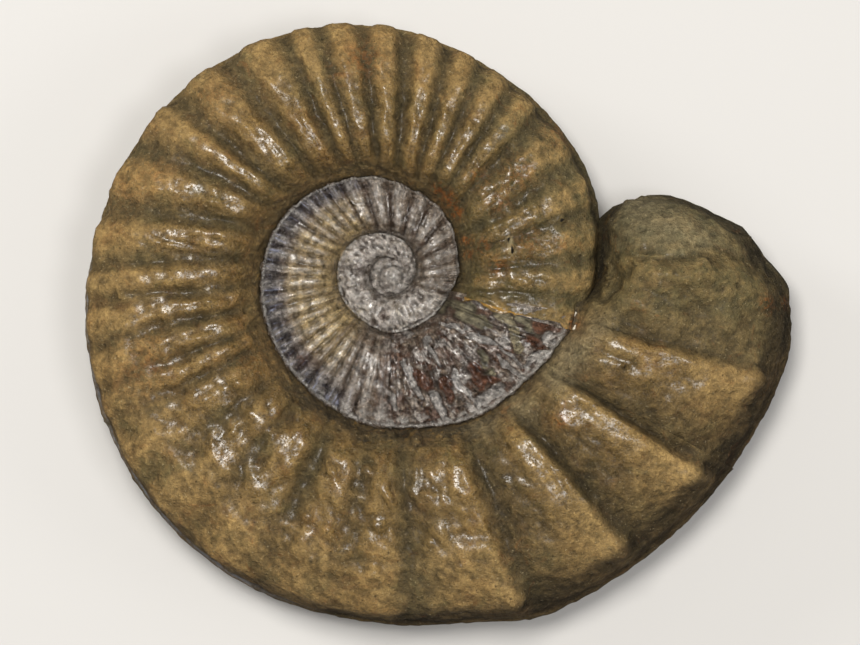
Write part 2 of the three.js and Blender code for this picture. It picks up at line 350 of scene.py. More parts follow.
# Rounded curve through the values at the knots, read at the places, for every row.
def throughPoints(knots, values, places):
    i = np.clip(np.searchsorted(knots, places, side="right") - 1, 0, len(knots) - 2)
    width = np.diff(knots)
    slope = np.diff(values, axis=1) / width
    tangent = np.empty_like(values)
    tangent[:, 0], tangent[:, -1] = slope[:, 0], slope[:, -1]
    left, right = width[:-1], width[1:]
    tangent[:, 1:-1] = (slope[:, :-1] * right + slope[:, 1:] * left) / (left + right) * 0.8
    t = (places - knots[i]) / width[i]
    back = 1 - t
    return (
        values[:, i] * back * back * (1 + 2 * t)
        + values[:, i + 1] * t * t * (1 + 2 * back)
        + width[i] * t * back * (tangent[:, i] * back - tangent[:, i + 1] * t)
    )


# Ribs, furrows and knobs, as on the solid, with a little natural waver.
def addRelief(u, r, z, angle, shoulder, wobble):
    depth, part = furrowDepth(angle[:, None] + wobble)
    knob = knobHeight(angle)[:, None]
    onRib = ease(0, 0.14, u) * (1 - ease(0, 1, (u - shoulder) / (1 - shoulder))) * (0.8 + 0.2 * u)
    atShoulder = ridge(u, shoulder, 0.06)
    outwards = ease(0, 1, (u - 0.55) / (shoulder - 0.55))
    weathered = within(angle, *regions["weathered"])
    fade = 1 - 0.55 * ease(0.35, 0.75, u) * weathered[:, None]
    relief = knob * atShoulder - depth * onRib * fade
    return r + relief * outwards * 0.75, z + relief * (1 - 0.45 * outwards)


# small marks on the seen side, in mm from the coil centre
marks = {
    # (x, y, radius, depth)
    "holes": [(59.3, 19.9, 1.1, 2.2), (80.6, -31.2, 1.0, 2.0), (2.8, -16.0, 0.6, 1.4)],
    "pits": [
        (-3.2, -13.5, 1.3, 0.9), (-12.1, 2.5, 1.8, 1.1), (130.6, -9.2, 1.6, 1.0),
        (138.8, -9.2, 1.2, 0.8), (94.4, -11.0, 1.6, 0.9), (98.0, 1.4, 1.5, 0.8),
        (-4.5, -86.5, 2.2, 1.2), (-7.4, -85.8, 1.6, 1.0), (5.0, -97.0, 1.3, 1.2),
        (5.2, -101.5, 1.0, 1.0), (9.6, -109.0, 1.4, 1.0), (23.5, -101.5, 1.6, 1.0),
        (-28.4, -99.0, 1.8, 1.0), (66.0, -70.0, 1.2, 0.8), (-58.0, 7.5, 2.2, 0.8),
    ],
    # raised or sunken lines: (height, half width, points)
    "lines": [
        (2.0, 3.2, [(87.3, 9.6), (96.2, 6.0), (110.4, 9.6), (122.8, 6.0), (131.7, 1.4)]),
        (1.7, 2.2, [(73.1, -7.5), (80.5, 0.8), (87.3, 8.5)]),
        (-1.6, 3.5, [(92.0, 1.5), (104.0, 1.0), (118.0, 0.0)]),
        (-1.8, 4.0, [(83.0, -7.5), (90.0, -11.5), (97.0, -15.0)]),
        (-1.2, 3.0, [(66.0, -22.0), (73.0, -17.0), (80.0, -10.0)]),
        (-1.3, 0.9, [(121.0, 19.2), (124.6, 13.0), (128.0, 9.5), (131.2, 1.8)]),
        (-1.1, 0.8, [(112.0, 20.5), (117.0, 15.5), (124.6, 13.0)]),
        (-1.1, 0.8, [
            (84.5, 8.6), (89.7, 7.6), (98.6, 8.2), (109.4, 10.2), (113.3, 9.4), (121.3, 4.2),
        ]),
        (-0.6, 0.45, [(64.5, -22.0), (69.0, -25.5), (72.0, -29.5)]),
        (-0.6, 0.45, [(66.0, -18.0), (71.0, -19.5), (76.0, -24.5)]),
        (-0.6, 0.45, [(58.0, -32.5), (62.5, -36.0), (63.0, -41.0)]),
        (-0.9, 0.55, [(40.4, 13.6), (41.8, 8.0)]),
        (-0.7, 0.6, [(45.5, -10.8), (49.8, -13.2)]),
        (-0.8, 0.7, [(-59.6, 7.0), (-66.0, 8.6), (-75.0, 10.4), (-84.0, 12.5)]),
        (0.7, 0.7, [(63.2, -18.8), (64.6, -10.3)]),
    ],
}

# tongues and plates of the flaked patch: kind -> [(half width, points)], in mm from the centre
sutures = {
    "matrix": [
        (3.4, [(25.5, -13.5), (32.0, -16.5)]), (2.6, [(21.5, -9.8), (27.0, -11.0)]),
        (2.4, [(43.0, -15.5), (49.0, -18.0)]), (1.8, [(13.0, -10.5), (19.0, -9.5)]),
        (1.5, [(30.0, -26.5), (31.5, -31.0)]), (1.8, [(31.0, -35.0), (34.5, -33.5)]),
    ],
    "cream": [
        (1.7, [(38.0, -12.5), (40.5, -16.0), (42.0, -20.5)]), (1.2, [(41.5, -21.0), (43.0, -24.5)]),
    ],
    "silver": [
        (1.1, [(36.0, -27.5), (40.0, -32.5), (46.0, -36.0)]), (1.3, [(21.0, -33.0), (27.0, -42.0)]),
        (1.1, [(37.5, -25.0), (44.0, -30.0)]), (1.6, [(54.0, -21.5), (58.5, -26.5)]),
        (1.4, [(47.0, -30.0), (53.0, -27.5)]), (0.9, [(12.0, -22.0), (16.0, -31.0)]),
        (1.0, [(4.0, -30.0), (9.0, -43.0)]), (1.2, [(14.0, -41.0), (18.0, -48.0)]),
        (1.0, [(26.0, -20.5), (35.5, -24.0)]), (1.5, [(30.0, -43.5), (38.0, -40.0)]),
        (0.9, [(16.0, -15.5), (27.0, -18.5)]), (1.1, [(-3.0, -36.0), (1.0, -46.0)]),
    ],
    "rust": [
        (1.7, [(51.0, -17.5), (60.0, -20.0)]), (1.6, [(28.0, -32.0), (31.5, -38.5)]),
        (1.4, [(46.5, -32.0), (49.5, -34.5)]), (1.5, [(46.0, -22.0), (50.0, -24.0)]),
        (1.8, [(18.0, -37.0), (20.5, -43.0)]), (1.3, [(33.0, -36.5), (36.0, -38.0)]),
        (2.0, [(8.0, -34.0), (12.0, -38.0)]),
    ],
}

# upper edge of the end lump below which it is rough, and the white splinter on the seam
shelfLine = [
    [60, 2], [73, 6], [87.3, 9.6], [96.2, 6.0], [110.4, 9.6], [122.8, 6.0], [131.7, 1.4], [140, -3],
]
splinter = [(63.4, -18.0), (64.6, -10.6)]


def distanceToLine(x, y, points):
    best = np.full(np.shape(x), 1e9)
    for (ax, ay), (bx, by) in zip(points[:-1], points[1:]):
        dx, dy = bx - ax, by - ay
        t = np.clip(((x - ax) * dx + (y - ay) * dy) / (dx * dx + dy * dy), 0, 1)
        best = np.minimum(best, np.hypot(x - ax - t * dx, y - ay - t * dy))
    return best


def markRelief(x, y):
    height = 0
    for px, py, radius, depth in marks["pits"] + marks["holes"]:
        away = np.hypot(x - px, y - py) / radius
        height = height - depth * np.exp(-(away**4)) + 0.12 * ridge(away, 1.5, 0.4)
    for top, halfWidth, points in marks["lines"]:
        height = height + top * ridge(distanceToLine(x, y, points), 0, halfWidth)
    return height


def gridNormals(p):
    along = np.gradient(p, axis=0)
    across = np.roll(p, -1, axis=1) - np.roll(p, 1, axis=1)
    n = np.cross(across, along)
    return -n / np.maximum(np.linalg.norm(n, axis=2, keepdims=True), 1e-9)


def stationAngles(start, end, step):
    return np.linspace(start, end, int(round((end - start) / step)) + 1)


# Height of the worn unevenness of the brown layer, in mm.
def brownDetail(p, angle, u):
    worn = 1 + 0.5 * within(angle, *regions["roughest"])
    smoothBelly = 1 - 0.6 * ease(0.88, 0.97, u)
    sizes = wear["sizes"]
    broad = wear["lumps"] * noiseAt(p, sizes["lumps"], 1, 2)
    middle = wear["dents"] * noiseAt(p, sizes["dents"], 2, 2)
    small = wear["grit"] * noiseAt(p, sizes["grit"], 3, 2)
    rugged = 1 - ease(-1.5, 2.5, p[..., 1] - smoothAt(shelfLine, p[..., 0]))
    pitted = 0.45 * noiseAt(p, 3.0, 17, 2)
    pitted = pitted - wear["endLumpPits"] * ease(0.5, 0.75, noiseAt(p, sizes["endLumpPits"], 18))
    lump = wear["endLump"] * noiseAt(p, sizes["endLump"], 4, 2) + pitted * rugged
    lump = ease(350, 358, angle) * lump
    pocks = -wear["pocks"] * ease(0.62, 0.8, noiseAt(p, sizes["pocks"], 5)) * worn
    swept = np.stack([angle * 1.7, np.hypot(p[..., 0], p[..., 1]) * 0.4, p[..., 2] * 0.2], -1)
    wrinkles = wear["wrinkles"] * noiseAt(swept, sizes["wrinkles"], 19, 2)
    wrinkles = wrinkles * (0.3 + 0.7 * (1 - ease(0.4, 0.7, u)))
    return (broad + middle + pocks * 0.5) * worn * smoothBelly + small + wrinkles + lump


# Nearness to the listed tongues of one kind: 1 on their middle line, 0.5 at their edge.
def sutureField(kind, p):
    flat = p * np.array([1, 1, 0])
    x = p[..., 0] + 1.5 * noiseAt(flat, 4.5, 21, 2)
    y = p[..., 1] + 1.5 * noiseAt(flat, 4.5, 22, 2)
    widening = 1 + 0.45 * noiseAt(flat, 5, 23)
    field = np.zeros(np.shape(x))
    for halfWidth, points in sutures[kind]:
        field = np.maximum(field, halfAt(distanceToLine(x, y, points), halfWidth * widening))
    return field


# Height of folds, rim, lumps and flaked patches of the pearly turns, in mm.
def pearlDetail(p, angle, u):
    swing = angle / 2.5 + 1.8 * noiseAt(p, 9, 6, 2)
    fold = np.abs(np.sin(swing * math.pi)) - 0.5
    outer = ease(0.6, 0.85, u)
    flaked = ease(-104, -84, angle)
    core = 1 - ease(-392, -376, angle)
    plain = (1 - core) * (1 - flaked)
    sizes = wear["sizes"]
    folds = wear["folds"] * fold * (0.2 + 2.0 * outer) * plain
    beads = wear["beads"] * np.sin(u * 40 + 4 * noiseAt(p, 6, 13)) * (1 - outer)
    beads = beads * ease(-260, -240, angle) * plain
    cuts = -ribs["cutDepth"] * cutField(angle + 1.5 * noiseAt(p, 8, 24), u)
    rim = wear["rim"] * ridge(u, 0.93, 0.022)
    dents = wear["pearlDents"] * noiseAt(p, sizes["pearlDents"], 7, 2)
    raised = 0.6 * ease(0.3, 0.6, sutureField("silver", p))
    raised = raised + 0.35 * ease(0.35, 0.55, sutureField("cream", p))
    raised = raised - 0.5 * ease(0.3, 0.6, sutureField("rust", p))
    crumbs = wear["pearlCrumbs"] * noiseAt(p, sizes["pearlCrumbs"], 14, 2)
    crumbs = crumbs * (1 - ease(0.4, 0.6, sutureField("matrix", p)))
    bubbles = wear["coreDents"] * np.abs(noiseAt(p, sizes["coreDents"], 10, 2)) * core
    return folds + beads + cuts + rim + dents + (raised + crumbs) * flaked + bubbles


# Closed tube along the coil from start to end, as a Blender object.
def sweptMesh(name, start, end, step, upperCount, lowerCount, brown, tail):
    angles = stationAngles(start, end, step)
    if tail:
        angles = np.append(angles, end + 1.2)
    angles = np.concatenate([[2 * angles[0] - angles[1]], angles, [2 * angles[-1] - angles[-2]]])
    upperName, lowerName = ("full", "under") if brown else ("light", "lightUnder")
    u1, r1, z1, sh = halfSection(upperName, angles, "upperBreadth", brown, upperCount)
    u2, r2, z2, sh = halfSection(lowerName, angles, "lowerBreadth", brown, lowerCount)
    lean = smoothAt(coil["leanLine"], angles)[:, None]
    ring = np.stack(
        [r1 * np.cos(np.radians(angles))[:, None], r1 * np.sin(np.radians(angles))[:, None], z1], 2
    )
    wobble = 0.7 * noiseAt(ring, 26, 11)
    r1, z1 = addRelief(u1, r1, z1, angles, sh, wobble)
    r2, z2 = addRelief(u2, r2, z2, angles, sh, wobble[:, :1] * 0)
    inner = sectionSizes(angles, brown)[0][:, None]
    back = inner - np.minimum(4, inner * 0.35)
    u = np.concatenate([inner * 0, u1, u2[:, -2::-1]], 1)
    r = np.concatenate([back, r1, r2[:, -2::-1]], 1)
    z = np.concatenate([inner * 0, z1, -z2[:, -2::-1]], 1)
    turn = angles[:, None] + lean * (u - 0.5)
    if brown and start == coil["breakAngle"]:
        uneven = noiseAt(np.stack([r, r * 0, z * 0], 2), 5.0, 12, 3)
        ragged = np.degrees(wear["breakRaggedness"] * uneven / np.maximum(r, 10)) + 0.5 * (u - 0.5)
        turn = turn + ragged * (1 - ease(0, 6, np.abs(angles - start)))[:, None]
    turn = np.radians(turn)
    p = np.stack([r * np.cos(turn), r * np.sin(turn), z], 2)
    n = gridNormals(p)
    theta = np.broadcast_to(angles[:, None], u.shape)
    detail = brownDetail(p, theta, u) if brown else pearlDetail(p, theta, u)
    detail = detail + markRelief(p[..., 0], p[..., 1]) * (z > 4)
    detail = detail * ease(0, 0.03, u)
    if tail:
        detail[angles > end] -= 0.6
    p = (p + n * detail[..., None])[1:-1]
    return gridObject(name, p, 0 if brown else 1)


def gridObject(name, p, slotIndex):
    rows, count = p.shape[:2]
    points = p.reshape(-1, 3)
    caps = [p[0].mean(0), p[-1].mean(0)]
    points = np.concatenate([points, caps])
    a = (np.arange(rows - 1)[:, None] * count + np.arange(count)).ravel()
    b = (np.arange(rows - 1)[:, None] * count + (np.arange(count) + 1) % count).ravel()
    quads = np.stack([a, b, b + count, a + count], 1)
    j = np.arange(count)
    k = (j + 1) % count
    first = np.stack([np.full(count, rows * count), k, j], 1)
    base = (rows - 1) * count
    last = np.stack([np.full(count, rows * count + 1), base + j, base + k], 1)
    mesh = bpy.data.meshes.new(name)
    faces = quads.tolist() + first.tolist() + last.tolist()
    points = (points + np.array(coil["centre"])) / 1000
    mesh.from_pydata(points.tolist(), [], faces)
    mesh.update()
    obj = bpy.data.objects.new(name, mesh)
    bpy.context.scene.collection.objects.link(obj)
    mesh.materials.append(brownStone)
    mesh.materials.append(pearlShell)
    mesh.polygons.foreach_set("material_index", np.full(len(faces), slotIndex, dtype=np.int32))
    return obj


# Rounded knob in the middle of the coil, above and below.
def roundKnob(name, radius, height):
    rise = np.linspace(-math.pi / 2 + 0.03, math.pi / 2 - 0.03, 48)[:, None]
    turn = np.linspace(0, 2 * math.pi, 48, endpoint=False)[None, :]
    p = np.stack([
        radius * np.cos(rise) * np.cos(turn),
        radius * np.cos(rise) * np.sin(turn),
        height * np.sin(rise) + 0 * turn,
    ], 2)
    out = np.hypot(p[..., 0], p[..., 1])
    spiral = np.log(np.maximum(out, 0.5) / 3.4) / 0.13 - turn
    groove = (0.5 + 0.5 * np.cos(spiral)) ** 3 * ease(2.2, 3.2, out) * (1 - ease(9, 11, out))
    p = p * (1 - 0.045 * groove + 0.03 * noiseAt(p, 2.0, 15, 2))[..., None]
    return gridObject(name, p, 1)


# Keeps the largest body of a mesh. The union also leaves sealed pockets between the turns, and
# slivers of two faces.
def keepLargest(mesh):
    work = bmesh.new()
    work.from_mesh(mesh)
    bodies = []
    for start in work.verts:
        if start.tag:
            continue
        start.tag = True
        body = [start]
        for corner in body:  # grows while it is walked
            for side in corner.link_edges:
                other = side.other_vert(corner)
                if not other.tag:
                    other.tag = True
                    body.append(other)
        bodies.append(body)
    largest = max(bodies, key=len)
    stray = [corner for body in bodies if body is not largest for corner in body]
    bmesh.ops.delete(work, geom=stray, context="VERTS")
    work.to_mesh(mesh)
    work.free()


# One closed mesh of all the tubes, cut level by the resting plane.
def joined(objects, name):
    first = objects[0]
    for other in objects[1:]:
        step = first.modifiers.new("join", "BOOLEAN")
        step.operation = "UNION"
        step.solver = "MANIFOLD"
        step.object = other
    floorCutter = boxObject("floorCutter", (-0.3, -0.3, -0.1), (0.3, 0.3, 0.0))
    step = first.modifiers.new("rest", "BOOLEAN")
    step.operation = "DIFFERENCE"
    step.solver = "MANIFOLD"
    step.object = floorCutter
    bpy.context.view_layer.update()
    graph = bpy.context.evaluated_depsgraph_get()
    mesh = bpy.data.meshes.new_from_object(first.evaluated_get(graph), depsgraph=graph)
    mesh.name = name
    keepLargest(mesh)
    for obj in objects + [floorCutter]:
        old = obj.data
        bpy.data.objects.remove(obj)
        bpy.data.meshes.remove(old)
    result = bpy.data.objects.new(name, mesh)
    bpy.context.scene.collection.objects.link(result)
    return result


def boxObject(name, low, high):
    corners = [(x, y, z) for x in (low[0], high[0]) for y in (low[1], high[1])
               for z in (low[2], high[2])]
    faces = [(0, 1, 3, 2), (4, 6, 7, 5), (0, 4, 5, 1), (2, 3, 7, 6), (0, 2, 6, 4), (1, 5, 7, 3)]
    mesh = bpy.data.meshes.new(name)
    mesh.from_pydata(corners, [], faces)
    obj = bpy.data.objects.new(name, mesh)
    bpy.context.scene.collection.objects.link(obj)
    return obj


brownStone = bpy.data.materials.new("brownStone")
pearlShell = bpy.data.materials.new("pearlShell")

edge = coil["breakAngle"]

# stretches of the coil: name, first and last angle, step in degrees, points across the upper
# and the lower side, brown or pearly, with a tail that slips under the next stretch
stretches = [
    ("outerTurnB", turns["lumpJoin"], turns["end"], 0.7, 72, 28, True, False),
    ("outerTurnA", edge, turns["lumpJoin"], 0.7, 72, 28, True, True),
    ("pearlTurnB", turns["patchJoin"], edge + 5, 0.5, 60, 14, False, False),
    ("pearlTurnA", turns["coreEnd"], turns["patchJoin"], 0.75, 44, 14, False, True),
    ("innerTurnB", turns["innerJoin"], turns["coreEnd"], 1.3, 32, 10, False, True),
    ("innerTurnA", turns["start"], turns["innerJoin"], 1.6, 28, 10, False, True),
]
tubes = [sweptMesh(*stretch) for stretch in stretches]
tubes.append(roundKnob("nucleus", coil["nucleusRadius"], coil["nucleusHeight"]))
shell = joined(tubes, "ammoniteShell")
print("joined shell:", sum(len(face.vertices) - 2 for face in shell.data.polygons), "triangles")


# Angle along the coil, share of the way from seam to keel, radius and height of each point.
def coilPlaces(points):
    x, y, z = (points - np.array(coil["centre"])).T
    r = np.hypot(x, y)
    around = np.degrees(np.arctan2(y, x)) % 360
    theta = np.where(around > 18, around, around + 360)
    for turn in range(4):
        theta = np.where(r < smoothAt(coil["seamLine"], theta - 360) - 0.05, theta - 360, theta)
    inner, outerBrown, shoulder = sectionSizes(theta, True)
    outerPearl = sectionSizes(theta, False)[1]
    outer = np.where(theta < edge, outerPearl, outerBrown)
    height = np.maximum(outer - inner, 0.01)  # none at the very middle
    return x, y, z, r, theta, (r - inner) / height, shoulder, inner


# coloured spots, in mm from the coil centre: (x, y, radius, strength)
spots = {
    "rust": [
        (19.8, 27.2, 2.6, 1.0), (22.3, 22.6, 2.2, 1.0), (25.6, 13.0, 1.7, 0.9),
        (26.3, 7.8, 1.6, 0.9), (16.0, 31.0, 2.4, 0.8), (29.5, 34.5, 4.0, 0.45),
        (37.0, 26.0, 4.5, 0.45), (44.0, 36.0, 6.0, 0.4), (31.5, 11.0, 3.0, 0.6),
        (37.0, 3.8, 3.5, 0.55),
        (130.6, -9.2, 2.2, 0.9), (138.8, -9.2, 1.8, 0.8), (63.0, -16.0, 3.0, 0.6),
        (-31.5, -28.5, 3.2, 0.7), (-3.2, -13.5, 1.5, 0.9), (59.0, 12.0, 3.0, 0.4),
        (-60.0, 62.0, 9.0, 0.15), (-95.0, 30.0, 9.0, 0.15), (-86.0, -30.0, 10.0, 0.25),
        (-10.0, 76.0, 7.0, 0.4), (60.0, 52.0, 7.0, 0.4), (47.0, 12.0, 6.0, 0.35),
        (58.0, -50.0, 2.5, 0.6), (-82.0, 36.0, 8.0, 0.15), (-50.0, -30.0, 8.0, 0.2),
    ],
    # pale: the three spots with y above 10 are a painted highlight on the strip above the end lump's
    # ridge; the others are pale patches of stone
    "pale": [
        (95.6, 17.0, 8.0, 0.4), (107.0, 14.0, 6.0, 0.3), (63.5, -27.0, 6.5, 0.75),
        (57.0, -36.5, 5.5, 0.65), (71.0, -19.0, 5.5, 0.5), (46.0, -46.0, 5.0, 0.5),
        (32.0, -53.0, 5.0, 0.35), (86.0, 26.0, 6.0, 0.3),
    ],
    # tan: lighter patches of stone; the six spots with x from 70 to 120 and y below 0 are a painted
    # light that brightens the faces of the body chamber turned to the lower right
    "tan": [
        (104.0, -28.0, 13.0, 0.7), (120.0, -24.0, 11.0, 0.6), (98.0, -50.0, 10.0, 0.5),
        (-70.0, -47.0, 16.0, 0.6), (-52.0, -72.0, 14.0, 0.7), (-88.0, 5.0, 13.0, 0.2),
        (-30.0, 74.0, 9.0, 0.4), (20.0, -96.0, 16.0, 0.8), (-25.0, -80.0, 14.0, 0.7),
        (-78.0, 26.0, 10.0, 0.2), (4.0, 60.0, 10.0, 0.4), (88.0, -40.0, 12.0, 0.5),
        (70.0, -46.0, 10.0, 0.5), (108.0, -8.0, 12.0, 0.4), (0.0, -80.0, 10.0, 0.5),
    ],
}


def spotField(name, x, y):
    field = 0
    for sx, sy, radius, strength in spots[name]:
        field = field + strength * ridge(np.hypot(x - sx, y - sy), 0, radius)
    return np.clip(field, 0, 1)


# 1 in the middle of small pits or holes, 0.5 at their edge.
def pitField(name, x, y):
    field = 0
    for px, py, radius, depth in marks[name]:
        field = np.maximum(field, halfAt(np.hypot(x - px, y - py), 0.75 * radius))
    return field


# How far each point stands out of the surface around it, smoothed over a number of rounds, in mm.
def standOut(mesh, points, rounds):
    count = len(points)
    ends = np.empty(len(mesh.edges) * 2, dtype=np.int32)
    mesh.edges.foreach_get("vertices", ends)
    a, b = ends.reshape(-1, 2).T
    normals = np.empty(count * 3, dtype=np.float32)
    mesh.vertex_normals.foreach_get("vector", normals)
    degree = np.bincount(a, minlength=count) + np.bincount(b, minlength=count)
    soft = points.copy()
    for _ in range(rounds):
        for k in range(3):
            total = np.bincount(a, soft[b, k], count) + np.bincount(b, soft[a, k], count)
            soft[:, k] = 0.5 * (soft[:, k] + total / degree)
    return ((points - soft) * normals.reshape(-1, 3)).sum(1)


def setMask(mesh, name, values):
    layer = mesh.attributes.new(name, "FLOAT", "POINT")
    layer.data.foreach_set("value", np.clip(np.asarray(values), 0, 1).astype(np.float32))


# Soft masks that the materials read: where furrows, crests, seams and stained regions lie, and where
# painted shade and painted highlights go.
def paintMasks(mesh):
    points = np.empty(len(mesh.vertices) * 3, dtype=np.float32)
    mesh.vertices.foreach_get("co", points)
    points = points.reshape(-1, 3).astype(float) * 1000  # mm
    x, y, z, r, theta, u, shoulder, inner = coilPlaces(points)
    depth, part = furrowDepth(theta - smoothAt(coil["leanLine"], theta) * (u - 0.5))
    seen = ease(-4, 6, z)
    hidden = 1 - seen
    pearl = theta < edge
    onFlank = ease(0.02, 0.16, u) * (1 - ease(0, 1, (u - shoulder) / (1.02 - shoulder)))
    bottom = depth / np.maximum(part, 0.05)  # depth of the nearest furrow
    strong = np.where(pearl, ease(0.3, 1.2, bottom), ease(0.2, 2.4, bottom))
    weathered = within(theta, *regions["weathered"])
    strong = strong * (1 - 0.6 * ease(0.35, 0.7, u) * weathered)
    # furrow: where the rib furrows lie; the materials darken it as painted shade, and the brown one
    # also dulls it
    setMask(mesh, "furrow", part * onFlank * strong)
    onTurn = 1 - 0.85 * ease(344, 352, theta)
    # crest: the rib crests, lightened by the materials as a painted highlight
    setMask(mesh, "crest", (1 - part) ** 1.6 * onFlank * ease(0.12, 0.25, u) * onTurn)
    brokenLine = ridge(u, 0.085, 0.012) * within(theta, *regions["brokenLine"])
    brokenLine = brokenLine * ease(-0.2, 0.3, noiseAt(points, 5, 25, 2)) * seen
    fromSeam = np.maximum(r - inner, 0)
    # the seam and the wall beside it are darkened as painted shade, and a broken dark line near the
    # seam joins them; the brown layer also gets a thin golden crust here
    shadedWall = 0.8 * (1 - ease(3.0, 6.5, fromSeam)) * within(theta, *regions["shadedWall"])
    seam = np.maximum(np.exp(-fromSeam / 2.2) * ease(4, 7, r), shadedWall)
    setMask(mesh, "seam", seam + 0.8 * brokenLine)
    setMask(mesh, "wall", 1 - ease(0.04, 0.16, u))
    # the belly beyond the keel edge is darkened as painted shade, most on the body chamber
    chamber = ease(230, 300, theta)
    underEdge = ease(0, 1, (u - shoulder + 0.02) / 0.07)
    setMask(mesh, "shadedBelly", underEdge * (0.45 + 0.55 * chamber))
    start = 0.9 * (1 - ease(35, 80, theta)) * ease(edge - 1, edge, theta)
    shelf = ease(-1.5, 2.5, y - smoothAt(shelfLine, x)) * ease(356, 362, theta)
    setMask(mesh, "olive", start + 0.9 * shelf + 0.3 * hidden + 0.9 * ease(347, 356, theta))
    setMask(mesh, "shelf", shelf)
    setMask(mesh, "rust", spotField("rust", x, y) * seen)
    setMask(mesh, "pale", spotField("pale", x, y) * seen)
    setMask(mesh, "tan", spotField("tan", x, y) * seen + 0.4 * hidden)
    slot = distanceToLine(x, y, [(40.5, 13.2), (41.7, 8.4)])
    # holes and the slot are painted near black as painted shadow inside them
    setMask(mesh, "shadedHole", np.maximum(pitField("holes", x, y), halfAt(slot, 0.4)) * seen)
    setMask(mesh, "pit", pitField("pits", x, y) * seen)
    setMask(mesh, "slotRim", ridge(slot, 0.8, 0.35) * seen)
    # how far each point stands in or out of the surface around it: the materials darken the hollows as
    # painted shade and lighten the bumps as painted highlight
    fine = standOut(mesh, points, 5)
    broad = standOut(mesh, points, 70)
    setMask(mesh, "fineCavity", 0.5 - fine / 0.5)
    setMask(mesh, "cavity", 0.35 - broad / 2.6)
    sawtooth = within(theta, *regions["sawtooth"])
    # slope: the long sawtooth slopes, darkened towards their furrow as painted shade
    setMask(mesh, "slope", np.clip(part, 0, 1) ** 0.45 * onFlank * sawtooth)
    # painted highlight along the crests of the sawtooth ribs
    setMask(mesh, "scarpHighlight", np.clip(1 - part, 0, 1) ** 14 * onFlank * sawtooth)
    setMask(mesh, "sheen", (0.2 + 0.8 * ease(0.04, 0.16, u) * (1 - ease(0.45, 0.75, u))) * onTurn)
    uneven = 1.5 * noiseAt(points - np.array(coil["centre"]), 8, 24)
    # cut: the narrow cuts of the pearly turn, darkened as painted shade
    setMask(mesh, "cut", cutField(theta + uneven, u) * pearl)
    setMask(mesh, "splinter", halfAt(distanceToLine(x, y, splinter), 0.45) * seen)
    fromBreak = np.radians(theta - edge) * r
    setMask(mesh, "breakEdge", halfAt(fromBreak - 0.1, 0.42) * seen * (r > inner + 1))
    left = within(theta, *regions["gold"])
    setMask(mesh, "gold", left * (1 - ease(0.5, 0.75, u)))
    # band: the outer band of the pearly turn, dark in its own colour and darkened further as painted
    # shade of its outward slope
    setMask(mesh, "band", ease(0.6, 0.82, u) * within(theta, *regions["band"]))
    flaked = ease(-104, -86, theta) * pearl
    setMask(mesh, "flaked", flaked)
    for kind in sutures:
        setMask(mesh, kind + "Plate", sutureField(kind, np.stack([x, y, z], 1)) * flaked * seen)
    crust = 0.95 * ridge(u, 0.89, 0.045) * ease(-135, -112, theta)
    crust = crust * ease(0.05, 0.4, noiseAt(points, 2.6, 26, 2))
    setMask(mesh, "rim", np.maximum(ridge(u, 0.94, 0.018), crust) * pearl)
    setMask(mesh, "keelRim", ridge(u, 0.985, 0.012) * within(theta, *regions["keelRim"]))
    setMask(mesh, "core", 1 - ease(-392, -376, theta))
    setMask(mesh, "knob", np.exp(-((r / 3.4) ** 4)) * seen)
    for name, values in (("coilAngle", theta), ("coilRadius", r)):
        layer = mesh.attributes.new(name, "FLOAT", "POINT")
        layer.data.foreach_set("value", values.astype(np.float32))


paintMasks(shell.data)
shell.data.shade_smooth()
shell.data.set_sharp_from_angle(angle=math.radians(52))
print("masks painted")


# Linear colour of an sRGB colour given from 0 to 255.
def srgb(red, green, blue):
    parts = []
    for value in (red, green, blue):
        c = value / 255
        parts.append(c / 12.92 if c <= 0.04045 else ((c + 0.055) / 1.055) ** 2.4)
    return (*parts, 1.0)


# A shader node with its settings; an input takes a value or another node's output.
def addNode(tree, kind, inputs=None, **settings):
    node = tree.nodes.new(kind)
    for key, value in settings.items():
        setattr(node, key, value)
    for key, value in (inputs or {}).items():
        socket = node.inputs[key]
        if isinstance(value, bpy.types.NodeSocket):
            tree.links.new(value, socket)
        else:
            socket.default_value = value
    return node


def maths(tree, operation, first, second=0.0, clamp=False):
    node = addNode(tree, "ShaderNodeMath", {0: first, 1: second}, operation=operation)
    node.use_clamp = clamp
    return node.outputs[0]


# Product of two values or node outputs.
def times(tree, first, second, clamp=False):
    return maths(tree, "MULTIPLY", first, second, clamp)


# Maps low to high onto outLow to outHigh, clamped.
def spread(tree, value, low, high, outLow=0.0, outHigh=1.0):
    inputs = {
        "Value": value, "From Min": low, "From Max": high, "To Min": outLow, "To Max": outHigh,
    }
    return addNode(tree, "ShaderNodeMapRange", inputs).outputs["Result"]


def mixColour(tree, factor, first, second, blend="MIX"):
    node = tree.nodes.new("ShaderNodeMix")
    node.data_type = "RGBA"
    node.blend_type = blend
    for index, value in ((0, factor), (6, first), (7, second)):
        if isinstance(value, bpy.types.NodeSocket):
            tree.links.new(value, node.inputs[index])
        else:
            node.inputs[index].default_value = value
    return node.outputs[2]


def mask(tree, name):
    return addNode(tree, "ShaderNodeAttribute", attribute_name=name).outputs["Fac"]


def noise(tree, vector, scale, detail=4.0, roughness=0.55, distortion=0.0):
    inputs = {
        "Vector": vector, "Scale": scale, "Detail": detail, "Roughness": roughness,
        "Distortion": distortion,
    }
    return addNode(tree, "ShaderNodeTexNoise", inputs).outputs["Fac"]


